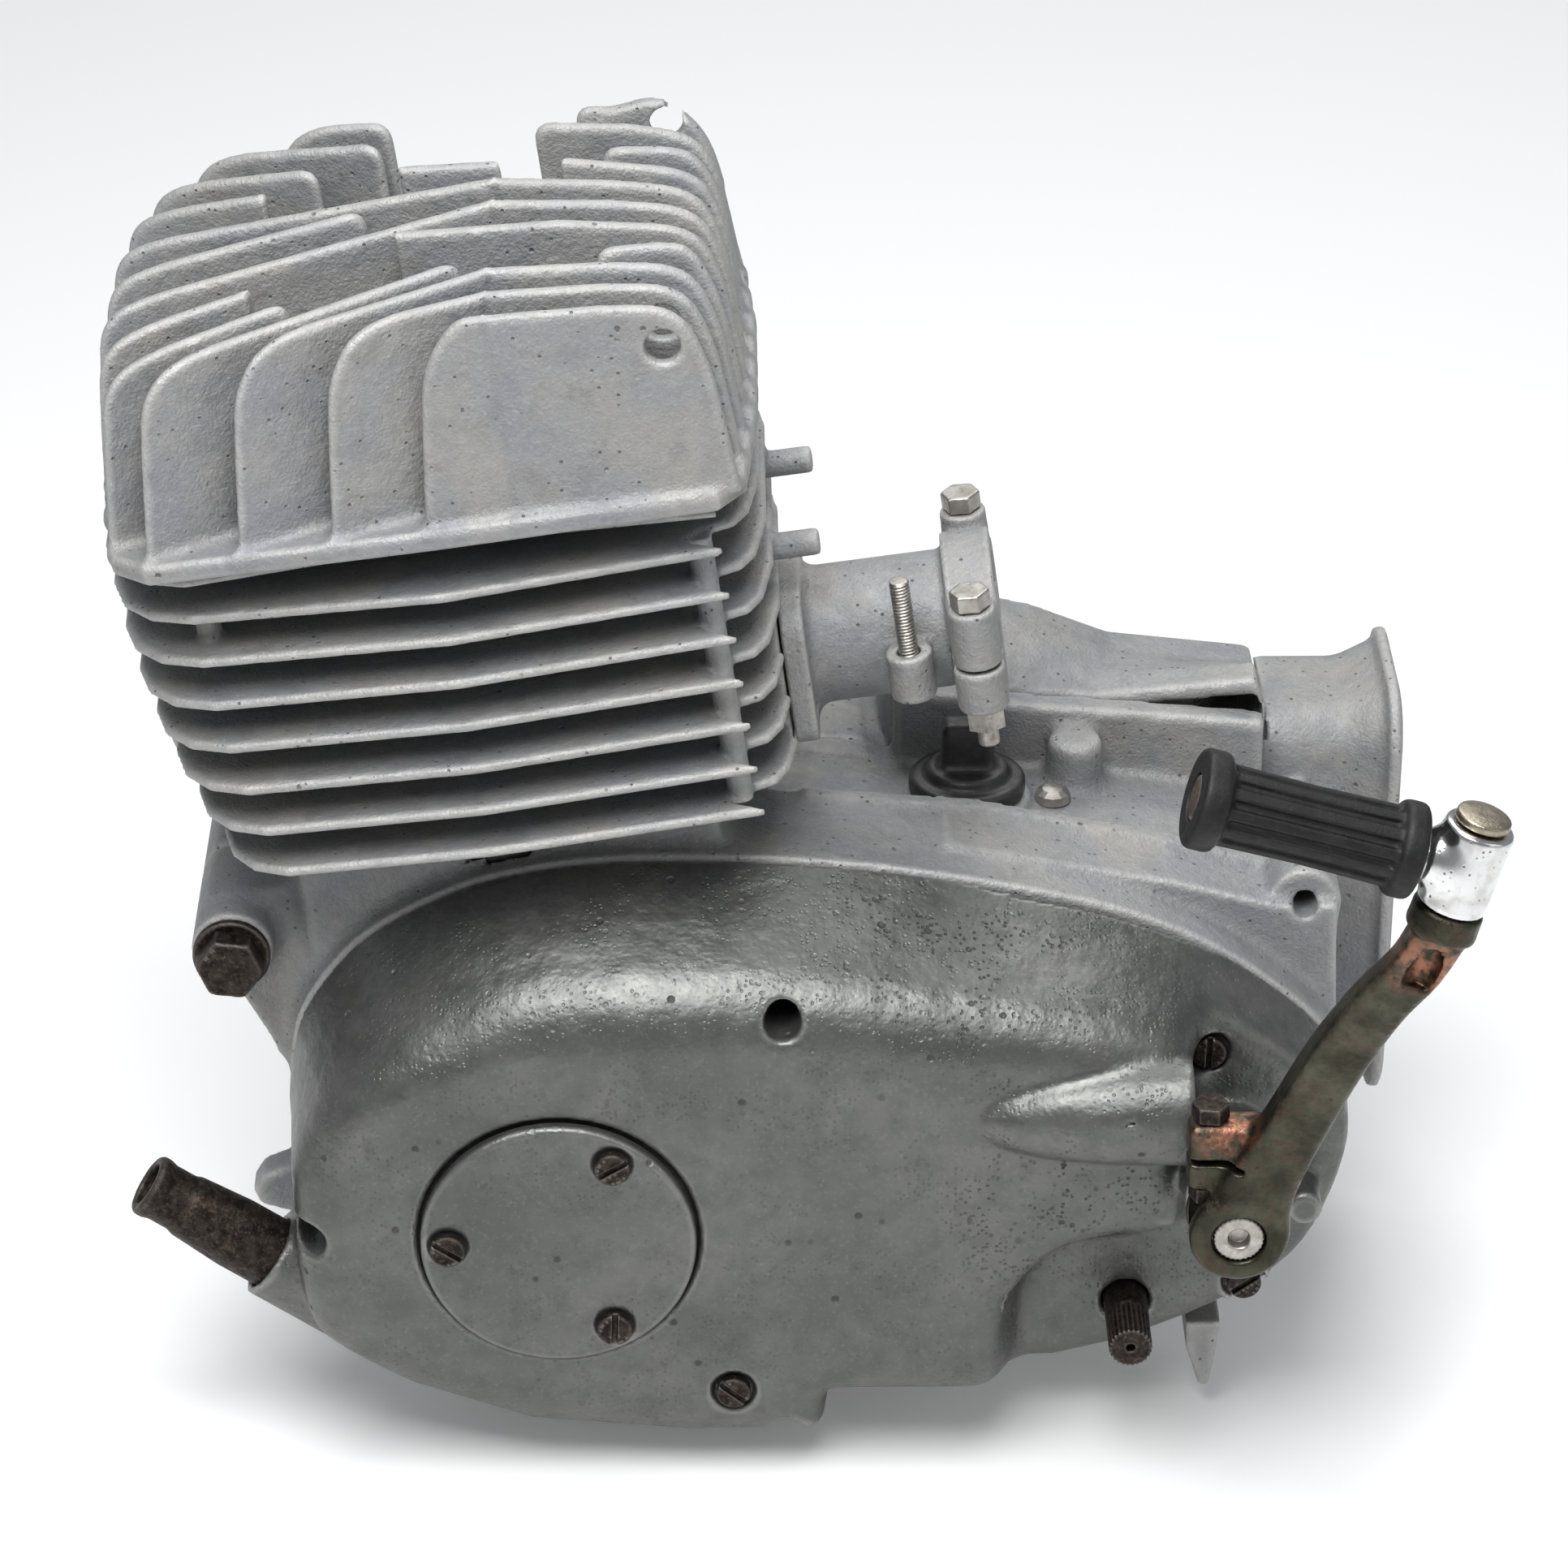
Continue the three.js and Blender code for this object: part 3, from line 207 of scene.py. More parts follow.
def block(x, y, z, low, high, r=0.5):
    """A box from its low to its high corner."""
    parts = [np.abs(c - (a + b) / 2) - (b - a) / 2 + r for c, a, b in zip((x, y, z), low, high)]
    outside = np.sqrt(sum(np.maximum(part, 0) ** 2 for part in parts))
    return outside + np.minimum(np.maximum(np.maximum(parts[0], parts[1]), parts[2]), 0) - r


def hexagon(p, q, centre, across, turn=0.0):
    """A hexagon of that width across its flats."""
    sides = [turn + i * math.pi / 3 for i in range(3)]
    reach = [np.abs((p - centre[0]) * math.cos(a) + (q - centre[1]) * math.sin(a)) for a in sides]
    return np.maximum(np.maximum(reach[0], reach[1]), reach[2]) - across / 2


def turned(x, y, z, profile, start, direction):
    """A body of revolution: profile pairs are (radius, distance along the axis)."""
    axis = np.array(direction, float) / np.linalg.norm(direction)
    dx, dy, dz = x - start[0], y - start[1], z - start[2]
    s = dx * axis[0] + dy * axis[1] + dz * axis[2]
    radius = np.sqrt(np.maximum(dx * dx + dy * dy + dz * dz - s * s, 0))
    return polygon(radius, s, [(-r, d) for r, d in profile[::-1]] + list(profile))


def spline(points, steps=5, closed=True):
    """A smooth curve through points."""
    points = np.array(points, float)
    count = len(points)
    spans = range(count if closed else count - 1)
    index = (lambda i: i % count) if closed else (lambda i: min(max(i, 0), count - 1))
    made = []
    for i in spans:
        a, b, c, d = (points[index(i + k)] for k in (-1, 0, 1, 2))
        for t in np.arange(steps) / steps:
            made.append(((2 * b) + (c - a) * t + (2 * a - 5 * b + 4 * c - d) * t**2
                         + (3 * b - a - 3 * c + d) * t**3) / 2)
    if not closed:
        made.append(points[-1])
    return [tuple(point) for point in made]


def rounded(corners, steps=6):
    """A polygon whose corners are rounded: each corner is (p, q, reach of the curve)."""
    made = []
    for i, corner in enumerate(corners):
        here, reach = np.array(corner[:2], float), corner[2]
        if not reach:
            made.append(tuple(here))
            continue
        before, after = (np.array(corners[(i + k) % len(corners)][:2], float) - here for k in (-1, 1))
        start = here + before / np.linalg.norm(before) * min(reach, np.linalg.norm(before) / 2)
        end = here + after / np.linalg.norm(after) * min(reach, np.linalg.norm(after) / 2)
        for t in np.linspace(0, 1, steps + 1):
            made.append(tuple(start * (1 - t) ** 2 + here * 2 * t * (1 - t) + end * t * t))
    return made


def surface(values, origin, pitch):
    """Vertices and quads where a grid of values is zero: one vertex in each cell that the surface crosses."""
    inside = values < 0
    n = np.array(values.shape) - 1
    corner = lambda a, i, j, k: a[i:i + n[0], j:j + n[1], k:k + n[2]]
    count = sum(corner(inside, i, j, k).astype(np.int8) for i in (0, 1) for j in (0, 1) for k in (0, 1))
    active = (count > 0) & (count < 8)
    cells = np.argwhere(active)
    number = np.full(active.shape, -1, np.int64)
    number[active] = np.arange(len(cells))
    sums, hits = np.zeros((len(cells), 3)), np.zeros(len(cells))
    steps = np.eye(3, dtype=int)
    for axis in range(3):
        first, second = steps[(axis + 1) % 3], steps[(axis + 2) % 3]
        for a in (0, 1):
            for b in (0, 1):
                offset = a * first + b * second
                low, high = cells + offset, cells + offset + steps[axis]
                f0, f1 = values[tuple(low.T)], values[tuple(high.T)]
                crossed = (f0 < 0) != (f1 < 0)
                t = (f0[crossed] / (f0[crossed] - f1[crossed]))[:, None]
                sums[crossed] += offset + t * steps[axis]
                hits[crossed] += 1
    points = origin + pitch * (cells + sums / hits[:, None])
    quads = []
    for axis in range(3):
        low = tuple(slice(0, -1) if i == axis else slice(1, -1) for i in range(3))
        high = tuple(slice(1, None) if i == axis else slice(1, -1) for i in range(3))
        crossed = inside[low] != inside[high]
        edges = np.argwhere(crossed) + 1 - steps[axis]
        first, second = steps[(axis + 1) % 3], steps[(axis + 2) % 3]
        ring = [number[tuple((edges - back).T)] for back in (0 * first, first, first + second, second)]
        quad = np.stack(ring, 1)
        outward = inside[low][crossed]
        quad[outward] = quad[outward][:, ::-1]
        quads.append(quad)
    return points, np.concatenate(quads)[:, ::-1]


# ---------------------------------------------------------------- pieces from fields
LEVEL = Matrix.Identity(4)
BARREL = Matrix.Translation((0, 0, CRANK_Z)) @ Matrix.Rotation(-LEAN, 4, "Y")
MARGIN = 3  # cells of empty grid round a piece


def place_along(origin, x_axis, z_axis):
    """A place whose x and z point along the given axes."""
    x, z = Vector(x_axis).normalized(), Vector(z_axis).normalized()
    turn = Matrix((x, z.cross(x), z)).transposed()
    return Matrix.Translation(origin) @ turn.to_4x4()


PIN_AXIS = (math.sin(PEDAL_TILT), 0, math.cos(PEDAL_TILT))
PEDAL_AXIS = (-math.cos(PEDAL_TILT), 0, math.sin(PEDAL_TILT))
PEDAL = place_along(PEDAL_PIVOT, PEDAL_AXIS, PIN_AXIS)
TACHO = place_along(TACHO_START, (0, 1, 0), TACHO_AXIS)
finishes = {}


def mesh_from(name, points, quads):
    mesh = bpy.data.meshes.new(name)
    mesh.vertices.add(len(points))
    mesh.vertices.foreach_set("co", np.ascontiguousarray(points, np.float32).ravel())
    mesh.loops.add(quads.size)
    mesh.loops.foreach_set("vertex_index", np.ascontiguousarray(quads, np.int32).ravel())
    mesh.polygons.add(len(quads))
    mesh.polygons.foreach_set("loop_start", np.arange(len(quads), dtype=np.int32) * 4)
    mesh.update(calc_edges=True)
    mesh.validate()
    mesh.shade_smooth()
    return mesh


def node_box(node, place):
    """The lowest and highest corner of a CAD node in a place's own frame, in millimetres."""
    inverse = np.array(place.inverted())
    points = np.array([v.co for v in frame["nodes"][node].data.vertices]) / MM
    points = points @ inverse[:3, :3].T + inverse[:3, 3]
    return points.min(0), points.max(0)


def piece(node, field, pitch, place=LEVEL, finish=None):
    """The fine surface of a field, in place of a CAD node and riding on its body."""
    low, high = node_box(node, place)
    edge = MARGIN * pitch
    axes = [np.arange(a - edge, b + edge, pitch, dtype=np.float32) for a, b in zip(low, high)]
    x, y, z = np.meshgrid(*axes, indexing="ij", sparse=True)
    shape = tuple(len(axis) for axis in axes)
    values = np.broadcast_to(field(x, y, z), shape).astype(np.float32)
    origin = np.array([axis[0] for axis in axes], float)
    points, quads = surface(values, origin, pitch)
    matrix = np.array(place)
    points = (points @ matrix[:3, :3].T + matrix[:3, 3]) * MM
    obj = bpy.data.objects.new(node + "_form", mesh_from(node + "_form", points, quads))
    bpy.context.scene.collection.objects.link(obj)
    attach(obj, frame["nodes"][node]["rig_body"])
    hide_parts(node)
    slot = slots[node]
    obj.data.materials.append(finishes[finish or slot])
    return obj


slots = {row["node"]: row["material_slot"] for row in frame["record"]["subparts"]}


# ---------------------------------------------------------------- materials
def add(tree, kind, inputs=None, **settings):
    """A shader node with its settings, and its inputs set or linked."""
    made = tree.nodes.new("ShaderNode" + kind)
    for key, value in settings.items():
        setattr(made, key, value)
    for key, value in (inputs or {}).items():
        if isinstance(value, bpy.types.NodeSocket):
            tree.links.new(value, made.inputs[key])
        else:
            made.inputs[key].default_value = value
    return made


def rgb(value):
    return (*value, 1.0) if len(value) == 3 else value


class Finish:
    """A Principled material, with short ways to build its colour, roughness and bump."""

    def __init__(self, name, metallic, roughness, colour=None, **constant):
        self.material = bpy.data.materials.new(name)
        self.material.use_nodes = True
        self.tree = self.material.node_tree
        self.shader = self.tree.nodes["Principled BSDF"]
        self.shader.inputs["Metallic"].default_value = metallic
        self.shader.inputs["Roughness"].default_value = roughness
        if colour:
            self.shader.inputs["Base Color"].default_value = rgb(colour)
        for key, value in constant.items():
            self.shader.inputs[key.replace("_", " ")].default_value = value
        self.place = add(self.tree, "TexCoord").outputs["Object"]
        self.normal = None
        finishes[name] = self.material

    def span(self, value, low, high, to_low=0.0, to_high=1.0):
        """value from low to high becomes to_low to to_high, held at both ends."""
        inputs = {"Value": value, "From Min": low, "From Max": high, "To Min": to_low, "To Max": to_high}
        return add(self.tree, "MapRange", inputs, clamp=True).outputs["Result"]

    def noise(self, size, low=0.3, high=0.7, detail=4.0, stretch=None):
        """Cloudy noise with features of about size millimetres."""
        place = self.place
        if stretch:
            place = add(self.tree, "Mapping", {"Vector": place, "Scale": stretch}).outputs["Vector"]
        inputs = {"Vector": place, "Scale": 1 / (size * MM), "Detail": detail, "Roughness": 0.6}
        return self.span(add(self.tree, "TexNoise", inputs).outputs["Fac"], low, high)

    def pits(self, size, share, width=0.32):
        """1 in small round pits: size is their spacing in mm, share the part of cells that have one."""
        inputs = {"Vector": self.place, "Scale": 1 / (size * MM), "Randomness": 1.0}
        cells = add(self.tree, "TexVoronoi", inputs)
        chance = add(self.tree, "SeparateColor", {"Color": cells.outputs["Color"]}).outputs["Red"]
        chosen = self.span(chance, 1 - share, 1 - share + 0.02)
        round_spot = self.span(cells.outputs["Distance"], width * 0.5, width, 1.0, 0.0)
        return self.times(chosen, round_spot)

    def times(self, a, b):
        return add(self.tree, "Math", {0: a, 1: b}, operation="MULTIPLY").outputs[0]

    def plus(self, a, b):
        return add(self.tree, "Math", {0: a, 1: b}, operation="ADD", use_clamp=True).outputs[0]

    def edges(self, low=0.505, high=0.56):
        """1 along convex edges, 0 elsewhere: the mask of edge wear and painted highlight."""
        return self.span(add(self.tree, "NewGeometry").outputs["Pointiness"], low, high)

    def crease_shade(self, low=0.42, high=0.495):
        """1 in creases, 0 elsewhere: the mask of painted shade in creases."""
        return self.span(add(self.tree, "NewGeometry").outputs["Pointiness"], low, high, 1.0, 0.0)

    def near(self, centre, inner, outer):
        """1 within inner of a point, 0 beyond outer, in millimetres of the CAD frame."""
        point = tuple(c * MM for c in centre)
        gap = add(self.tree, "VectorMath", {0: self.place, 1: point}, operation="DISTANCE")
        return self.span(gap.outputs["Value"], inner * MM, outer * MM, 1.0, 0.0)

    def mix(self, factor, a, b):
        """Colour a where factor is 0 and b where it is 1."""
        made = add(self.tree, "Mix", data_type="RGBA", blend_type="MIX")
        for key, value in ((0, factor), (6, a), (7, b)):
            if isinstance(value, bpy.types.NodeSocket):
                self.tree.links.new(value, made.inputs[key])
            else:
                made.inputs[key].default_value = rgb(value) if key else value
        return made.outputs[2]

    def bump(self, height, depth, strength=1.0):
        """Relief of depth millimetres where height goes from 0 to 1."""
        inputs = {"Height": height, "Distance": depth * MM, "Strength": strength}
        if self.normal:
            inputs["Normal"] = self.normal
        self.normal = add(self.tree, "Bump", inputs).outputs["Normal"]

    def set(self, colour=None, roughness=None):
        for key, value in (("Base Color", colour), ("Roughness", roughness), ("Normal", self.normal)):
            if value is not None:
                self.tree.links.new(value, self.shader.inputs[key])
        return self.material


def cast_aluminium():
    """Bead-blasted casting: light, matt and grainy, with bright edges of edge wear and painted highlight, painted
    shade in creases, dark specks and grime.
    """
    f = Finish("cast_aluminium", 0.45, 0.65)
    base = f.mix(f.noise(28, 0.35, 0.65), (0.235, 0.242, 0.26), (0.295, 0.29, 0.275))
    base = f.mix(f.times(f.noise(9, 0.5, 0.72), 0.5), base, (0.19, 0.185, 0.18))
    base = f.mix(f.times(f.noise(1.6, 0.5, 0.75, 6.0), 0.45), base, (0.37, 0.37, 0.36))
    # painted shade: darker in the creases
    base = f.mix(f.times(f.crease_shade(), 0.55), base, (0.14, 0.14, 0.145))
    # brighter along convex edges: edge wear and painted highlight
    base = f.mix(f.times(f.edges(), 0.75), base, (0.46, 0.455, 0.44))
    specks = f.plus(f.pits(1.7, 0.07, 0.3), f.times(f.pits(3.4, 0.10, 0.25), f.noise(22, 0.5, 0.6)))
    base = f.mix(f.times(specks, 0.8), base, (0.10, 0.095, 0.09))
    smudge = f.times(f.noise(14, 0.60, 0.70), f.noise(3, 0.45, 0.6))
    crown = f.plus(f.near((62, -60, 345), 5, 26), f.near((-50, -30, 330), 4, 18))
    base = f.mix(f.times(f.times(smudge, f.plus(crown, 0.12)), 0.9), base, (0.07, 0.07, 0.075))
    f.bump(f.noise(0.9, 0.2, 0.8, 3.0), 0.22)
    f.bump(f.noise(4.5, 0.3, 0.7, 3.0), 0.25)
    f.bump(specks, -0.5)
    return f.set(base, f.span(f.noise(6), 0, 1, 0.52, 0.7))


def polished_aluminium():
    """Old polished cover: darker, softly shiny and clouded, with clusters of corrosion pits."""
    f = Finish("polished_aluminium", 0.8, 0.42)
    base = f.mix(f.noise(40, 0.35, 0.65), (0.105, 0.11, 0.104), (0.155, 0.157, 0.149))
    base = f.mix(f.times(f.noise(7, 0.45, 0.7), 0.5), base, (0.088, 0.092, 0.087))
    base = f.mix(f.times(f.noise(1.2, 0.55, 0.8, 5.0), 0.5), base, (0.23, 0.228, 0.215))
    # painted shade: darker in the creases
    base = f.mix(f.times(f.crease_shade(0.40, 0.49), 0.6), base, (0.10, 0.10, 0.10))
    # brighter along convex edges: edge wear and painted highlight
    base = f.mix(f.times(f.edges(0.51, 0.57), 0.6), base, (0.44, 0.44, 0.425))
    worn = f.plus(f.near((140, -92, 92), 8, 34), f.near((120, -66, 168), 8, 50))
    worn = f.times(f.plus(worn, 0.25), f.noise(16, 0.42, 0.58))
    pits = f.plus(f.pits(1.3, 0.45, 0.42), f.pits(2.9, 0.3, 0.34))
    pits = f.plus(f.times(pits, worn), f.times(f.pits(6.5, 0.10, 0.2), 0.9))
    base = f.mix(f.times(pits, 0.85), base, (0.075, 0.075, 0.07))
    f.bump(f.noise(1.0, 0.2, 0.8, 3.0), 0.05)
    f.bump(f.noise(12, 0.3, 0.7, 3.0), 0.35)
    f.bump(pits, -0.45)
    return f.set(base, f.plus(f.span(f.noise(9), 0, 1, 0.36, 0.48), f.times(pits, 0.3)))


def steel():
    f = Finish("steel", 1.0, 0.4)
    base = f.mix(f.noise(5, 0.4, 0.65), (0.36, 0.34, 0.31), (0.50, 0.48, 0.45))
    base = f.mix(f.times(f.noise(2.2, 0.55, 0.7), 0.6), base, (0.20, 0.15, 0.11))
    # painted shade: darker in the creases
    base = f.mix(f.times(f.crease_shade(), 0.6), base, (0.08, 0.065, 0.055))
    f.bump(f.noise(0.8, 0.2, 0.8), 0.06)
    return f.set(base, f.span(f.noise(3), 0, 1, 0.32, 0.55))


def dark_steel():
    """Oxidised steel, brown-black with rust in patches."""
    f = Finish("dark_steel", 0.85, 0.5)
    base = f.mix(f.noise(3, 0.4, 0.6), (0.014, 0.011, 0.009), (0.042, 0.034, 0.028))
    base = f.mix(f.times(f.noise(1.4, 0.52, 0.66), 0.7), base, (0.10, 0.068, 0.050))
    # brighter along convex edges: edge wear and painted highlight
    base = f.mix(f.times(f.edges(0.51, 0.56), 0.5), base, (0.22, 0.20, 0.18))
    f.bump(f.noise(0.9, 0.2, 0.8), 0.12)
    return f.set(base, f.span(f.noise(2), 0, 1, 0.38, 0.68))


def rubber():
    f = Finish("rubber", 0.0, 0.55, Specular_IOR_Level=0.4)
    base = f.mix(f.noise(6, 0.4, 0.7), (0.003, 0.003, 0.0033), (0.008, 0.0078, 0.0078))
    base = f.mix(f.times(f.noise(1.5, 0.6, 0.75), 0.35), base, (0.04, 0.038, 0.036))
    f.bump(f.noise(0.8, 0.2, 0.8), 0.08)
    return f.set(base, f.span(f.noise(4), 0, 1, 0.42, 0.7))


def worn_nickel():
    """Dull plating, worn through to copper and rust by the hub and the bend."""
    f = Finish("worn_nickel", 0.95, 0.4)
    base = f.mix(f.noise(16, 0.4, 0.62), (0.035, 0.035, 0.024), (0.085, 0.082, 0.060))
    base = f.mix(f.times(f.noise(2.2, 0.5, 0.72), 0.45), base, (0.03, 0.028, 0.02))
    copper = f.plus(f.near((186, -112, 133), 5, 14), f.near((232, -142, 205), 5, 16))
    copper = f.times(copper, f.noise(7, 0.42, 0.56))
    base = f.mix(f.times(copper, 0.85), base, (0.42, 0.19, 0.12))
    rust = f.times(f.noise(11, 0.50, 0.62), f.noise(1.8, 0.42, 0.62))
    base = f.mix(f.times(rust, 0.6), base, (0.13, 0.085, 0.06))
    base = f.mix(f.times(f.pits(2.6, 0.16, 0.3), 0.8), base, (0.05, 0.04, 0.035))
    f.bump(f.noise(1.1, 0.2, 0.8), 0.08)
    f.bump(rust, 0.12)
    return f.set(base, f.plus(f.span(f.noise(5), 0, 1, 0.3, 0.45), f.times(rust, 0.3)))


def chrome():
    f = Finish("chrome", 1.0, 0.16)
    base = f.mix(f.noise(6, 0.45, 0.62), (0.72, 0.72, 0.72), (0.58, 0.575, 0.56))
    spots = f.pits(1.6, 0.22, 0.3)
    base = f.mix(f.times(spots, 0.75), base, (0.16, 0.12, 0.09))
    base = f.mix(f.times(f.near((169, -145, 253), 4, 9), 0.9), base, (0.30, 0.17, 0.09))
    f.bump(spots, -0.1)
    return f.set(base, f.span(f.noise(3), 0, 1, 0.12, 0.28))


def plain(name, metallic, roughness, light, dark, size=3):
    """Two close tones in clouds, with a fine grain."""
    f = Finish(name, metallic, roughness)
    f.bump(f.noise(0.8, 0.2, 0.8), 0.08)
    base = f.mix(f.noise(size), dark, light)
    return f.set(base, f.span(f.noise(size * 0.7), 0, 1, roughness - 0.08, roughness + 0.1))


def make_finishes():
    cast_aluminium()
    polished_aluminium()
    steel()
    dark_steel()
    rubber()
    worn_nickel()
    chrome()
    plain("gasket", 0.0, 0.85, (0.09, 0.07, 0.05), (0.05, 0.04, 0.032))
    plain("ceramic", 0.0, 0.25, (0.80, 0.78, 0.72), (0.66, 0.63, 0.57), 8)
    plain("iron", 0.9, 0.55, (0.17, 0.165, 0.16), (0.10, 0.095, 0.09))
    plain("black_plastic", 0.0, 0.42, (0.030, 0.030, 0.028), (0.014, 0.014, 0.014))
    plain("brass_cap", 1.0, 0.34, (0.46, 0.41, 0.32), (0.30, 0.26, 0.20))


# ---------------------------------------------------------------- clutch cover
COVER_OUTLINE = (
    spline(COVER_TOP + COVER_END, 4, closed=False) + COVER_FOOT + spline(COVER_FRONT, 4, closed=False)
)


def cover_envelope(x, y, z):
    """The domed cover before its details: drafted sides, a long sloping shoulder on top and a flat face."""
    flat = polygon(x, z, COVER_OUTLINE) + 0.5
    rise = ease(z, 96, 150) * (1 - 0.5 * ease(x, 90, 190))
    draw_in = 3 + 19 * rise
    depth = np.clip((COVER_JOINT_Y - y) / (COVER_JOINT_Y - COVER_FACE_Y), 0, 1.2)
    side = (flat + draw_in * depth) / np.hypot(1, draw_in / 47)
    return meet(meet(side, COVER_FACE_Y - y, 15), y - COVER_JOINT_Y + GAP / 2, 1.2)


def clutch_cover(x, y, z):
    made = cover_envelope(x, y, z)
    hollow = made + WALL
    wall_slope = 0.4
    step = polygon(x, z, spline(STEP[:8], 4, closed=False) + STEP[8:])
    step = (step - wall_slope * np.clip(RECESS_Y - y, 0, 24) + 4) / math.hypot(1, wall_slope)
    recess = prism(step, y, -140, RECESS_Y, 5)
    made = without(made, recess, 7)
    hollow = np.maximum(hollow, -(y - RECESS_Y - WALL) * (polygon(x, z, STEP) < WALL))
    nose, mouth = np.array((116.0, -89.5, 119.0)), np.array((180.0, -91.0, 123.0))
    t = np.clip((x - nose[0]) / (mouth[0] - nose[0]), 0, 1)
    axis_y, axis_z = nose[1] + t * (mouth[1] - nose[1]), nose[2] + t * (mouth[2] - nose[2])
    radius = 15.5 * np.sqrt(t * (2 - t) + 0.001)
    nacelle = np.hypot((y - axis_y) * 1.12, z - axis_z) - radius
    nacelle = meet(np.maximum(nacelle, 112 - x), x - 176.8, 1.5)
    made = union(made, np.maximum(nacelle, y + 74), 3)
    made = union(made, bar(x, z, y, (210.7, 84.8), 5, -84, RECESS_Y + 3, 1), 2)
    made = union(made, bar(x, z, y, KICK_SHAFT, 13.5, -101, RECESS_Y + 3, 1), 4)
    tacho = turned(x, y, z, [(13, -6), (13, 22)], TACHO_START, TACHO_AXIS)
    made = union(made, np.maximum(tacho, y - COVER_JOINT_Y + 1), 5)
    made = np.maximum(made, -hollow)
    envelope = cover_envelope(x, y, z)
    for px, pz in COVER_HOLES + [screw[:2] for screw in COVER_SCREWS]:
        pillar = bar(x, z, y, (px, pz), 7.8, COVER_FACE_Y + 1, COVER_JOINT_Y - 0.5)
        made = union(made, np.maximum(np.maximum(pillar, envelope), -recess))
    for hole in COVER_HOLES:
        made = without(made, bar(x, z, y, hole, 5.0, -140, COVER_FACE_Y + 34), 1.6)
    for px, pz, face in COVER_SCREWS:
        made = without(made, bar(x, z, y, (px, pz), 6.2, face - 30, face + 2.6), 1)
    front = COVER_FACE_Y - 9
    made = without(made, bar(x, z, y, CRANK, INSPECTION_R + 0.9, front, COVER_FACE_Y + 3), 1.2)
    made = without(made, bar(x, z, y, CRANK, INSPECTION_R - 5, front, -80))
    made = without(made, bar(x, z, y, KICK_SHAFT, 8.6, -140, -60))
    made = without(made, bar(x, z, y, SHIFT_SHAFT, 7, -140, -60))
    made = without(made, turned(x, y, z, [(TACHO_R + 0.4, 0), (TACHO_R + 0.4, 60)], TACHO_START, TACHO_AXIS))
    gap = 2.3 * ease(x, 108, 136) * (1 - ease(x, 172, 194))
    made = np.maximum(made, -np.maximum(COVER_JOINT_Y - GAP / 2 - gap - y, 138 - z))
    return without(made, bar(y, z, x, (-95, 123), 7.5, 158, 200), 1)


# ---------------------------------------------------------------- crankcase
def bores(x, y, z):
    """Bores shared by the crankcase halves."""
    made = all_of([
        bar(x, z, y, CRANK, CHAMBER_R, -26, 26),
        bar(x, z, y, CRANK, ROD_SWEEP_R, -GROOVE_HALF, GROOVE_HALF),
        bar(x, z, y, CRANK, BEARING_R, -42.5, 42.5),
        bar(x, z, y, CRANK, 17, -50, 50),
        bar(x, z, y, MAIN_SHAFT, 15, -50, 42),
        bar(x, z, y, OUTPUT_SHAFT, 14, -30, 60),
        bar(x, z, y, KICK_SHAFT, 10, -50, -30),
        bar(x, z, y, SHIFT_SHAFT, 7, -50, -12),
        bar(x, z, y, MOUNT_BOSS, 6.2, -60, 60),
    ])
    u, h = to_barrel(x, z)
    return union(made, prism(np.hypot(u, y) - LINER_R - 0.6, h, 50, DECK_H + 9))


def to_barrel(x, z):
    """The cylinder's own u and h of a point."""
    u = x * math.cos(LEAN) + (z - CRANK_Z) * math.sin(LEAN)
    return u, (z - CRANK_Z) * math.cos(LEAN) - x * math.sin(LEAN)


def deck(x, y, z, low, high):
    u, h = to_barrel(x, z)
    return block(u, y, h, (-60, low, 66), (60, high, DECK_H), 2)


def crankcase_left(x, y, z):
    low, high = COVER_JOINT_Y + GAP, SPLIT_Y - GAP / 2
    made = prism(polygon(x, z, COVER_OUTLINE), y, low, high, 1)
    lip = [(70, 160), (70, 178.5), (119, 174.5), (175, 162.5), (205, 154.5), (222, 152), (224, 100)]
    made = union(made, prism(polygon(x, z, lip), y, -9, high, 0.8), 2.5)
    shelf = [(110, 160), (110, 173.5), (175, 161), (205, 153), (222, 153), (224, 100)]
    made = union(made, prism(polygon(x, z, shelf), y, -30, high, 1), 4)
    made = union(made, prism(polygon(x, z, SOLE), y, low, high, 1), 3)
    made = union(made, deck(x, y, z, -38, high), 6)
    made = union(made, prism(polygon(x, z, FRONT_ARM), y, -34, high, 3), 8)
    made = union(made, bar(x, z, y, MOUNT_BOSS, 11.5, low, high, 1), 6)
    made = union(made, bar(x, z, y, (213, 152), 10, -26, high, 1), 4)
    tab = [(-70, 50), (-89, 56), (-91, 61), (-88, 66), (-70, 74)]
    made = union(made, prism(polygon(x, z, tab), y, -34, -22, 2), 4)
    lug = [(180, 48), (181, 22), (185, 9), (188, 9), (190, 22), (192, 48)]
    made = union(made, prism(polygon(x, z, lug), y, -61.6, -36, 1.5) + 100 * ((z > 32) & (y < -44)), 1)
    made = without(made, prism(polygon(x, z, GEARBOX), y, -32, 20))
    made = without(made, bar(x, z, y, (213, 152), 3.4, -60, -8), 1)
    return np.maximum(np.maximum(made, -bores(x, y, z)), y - high)


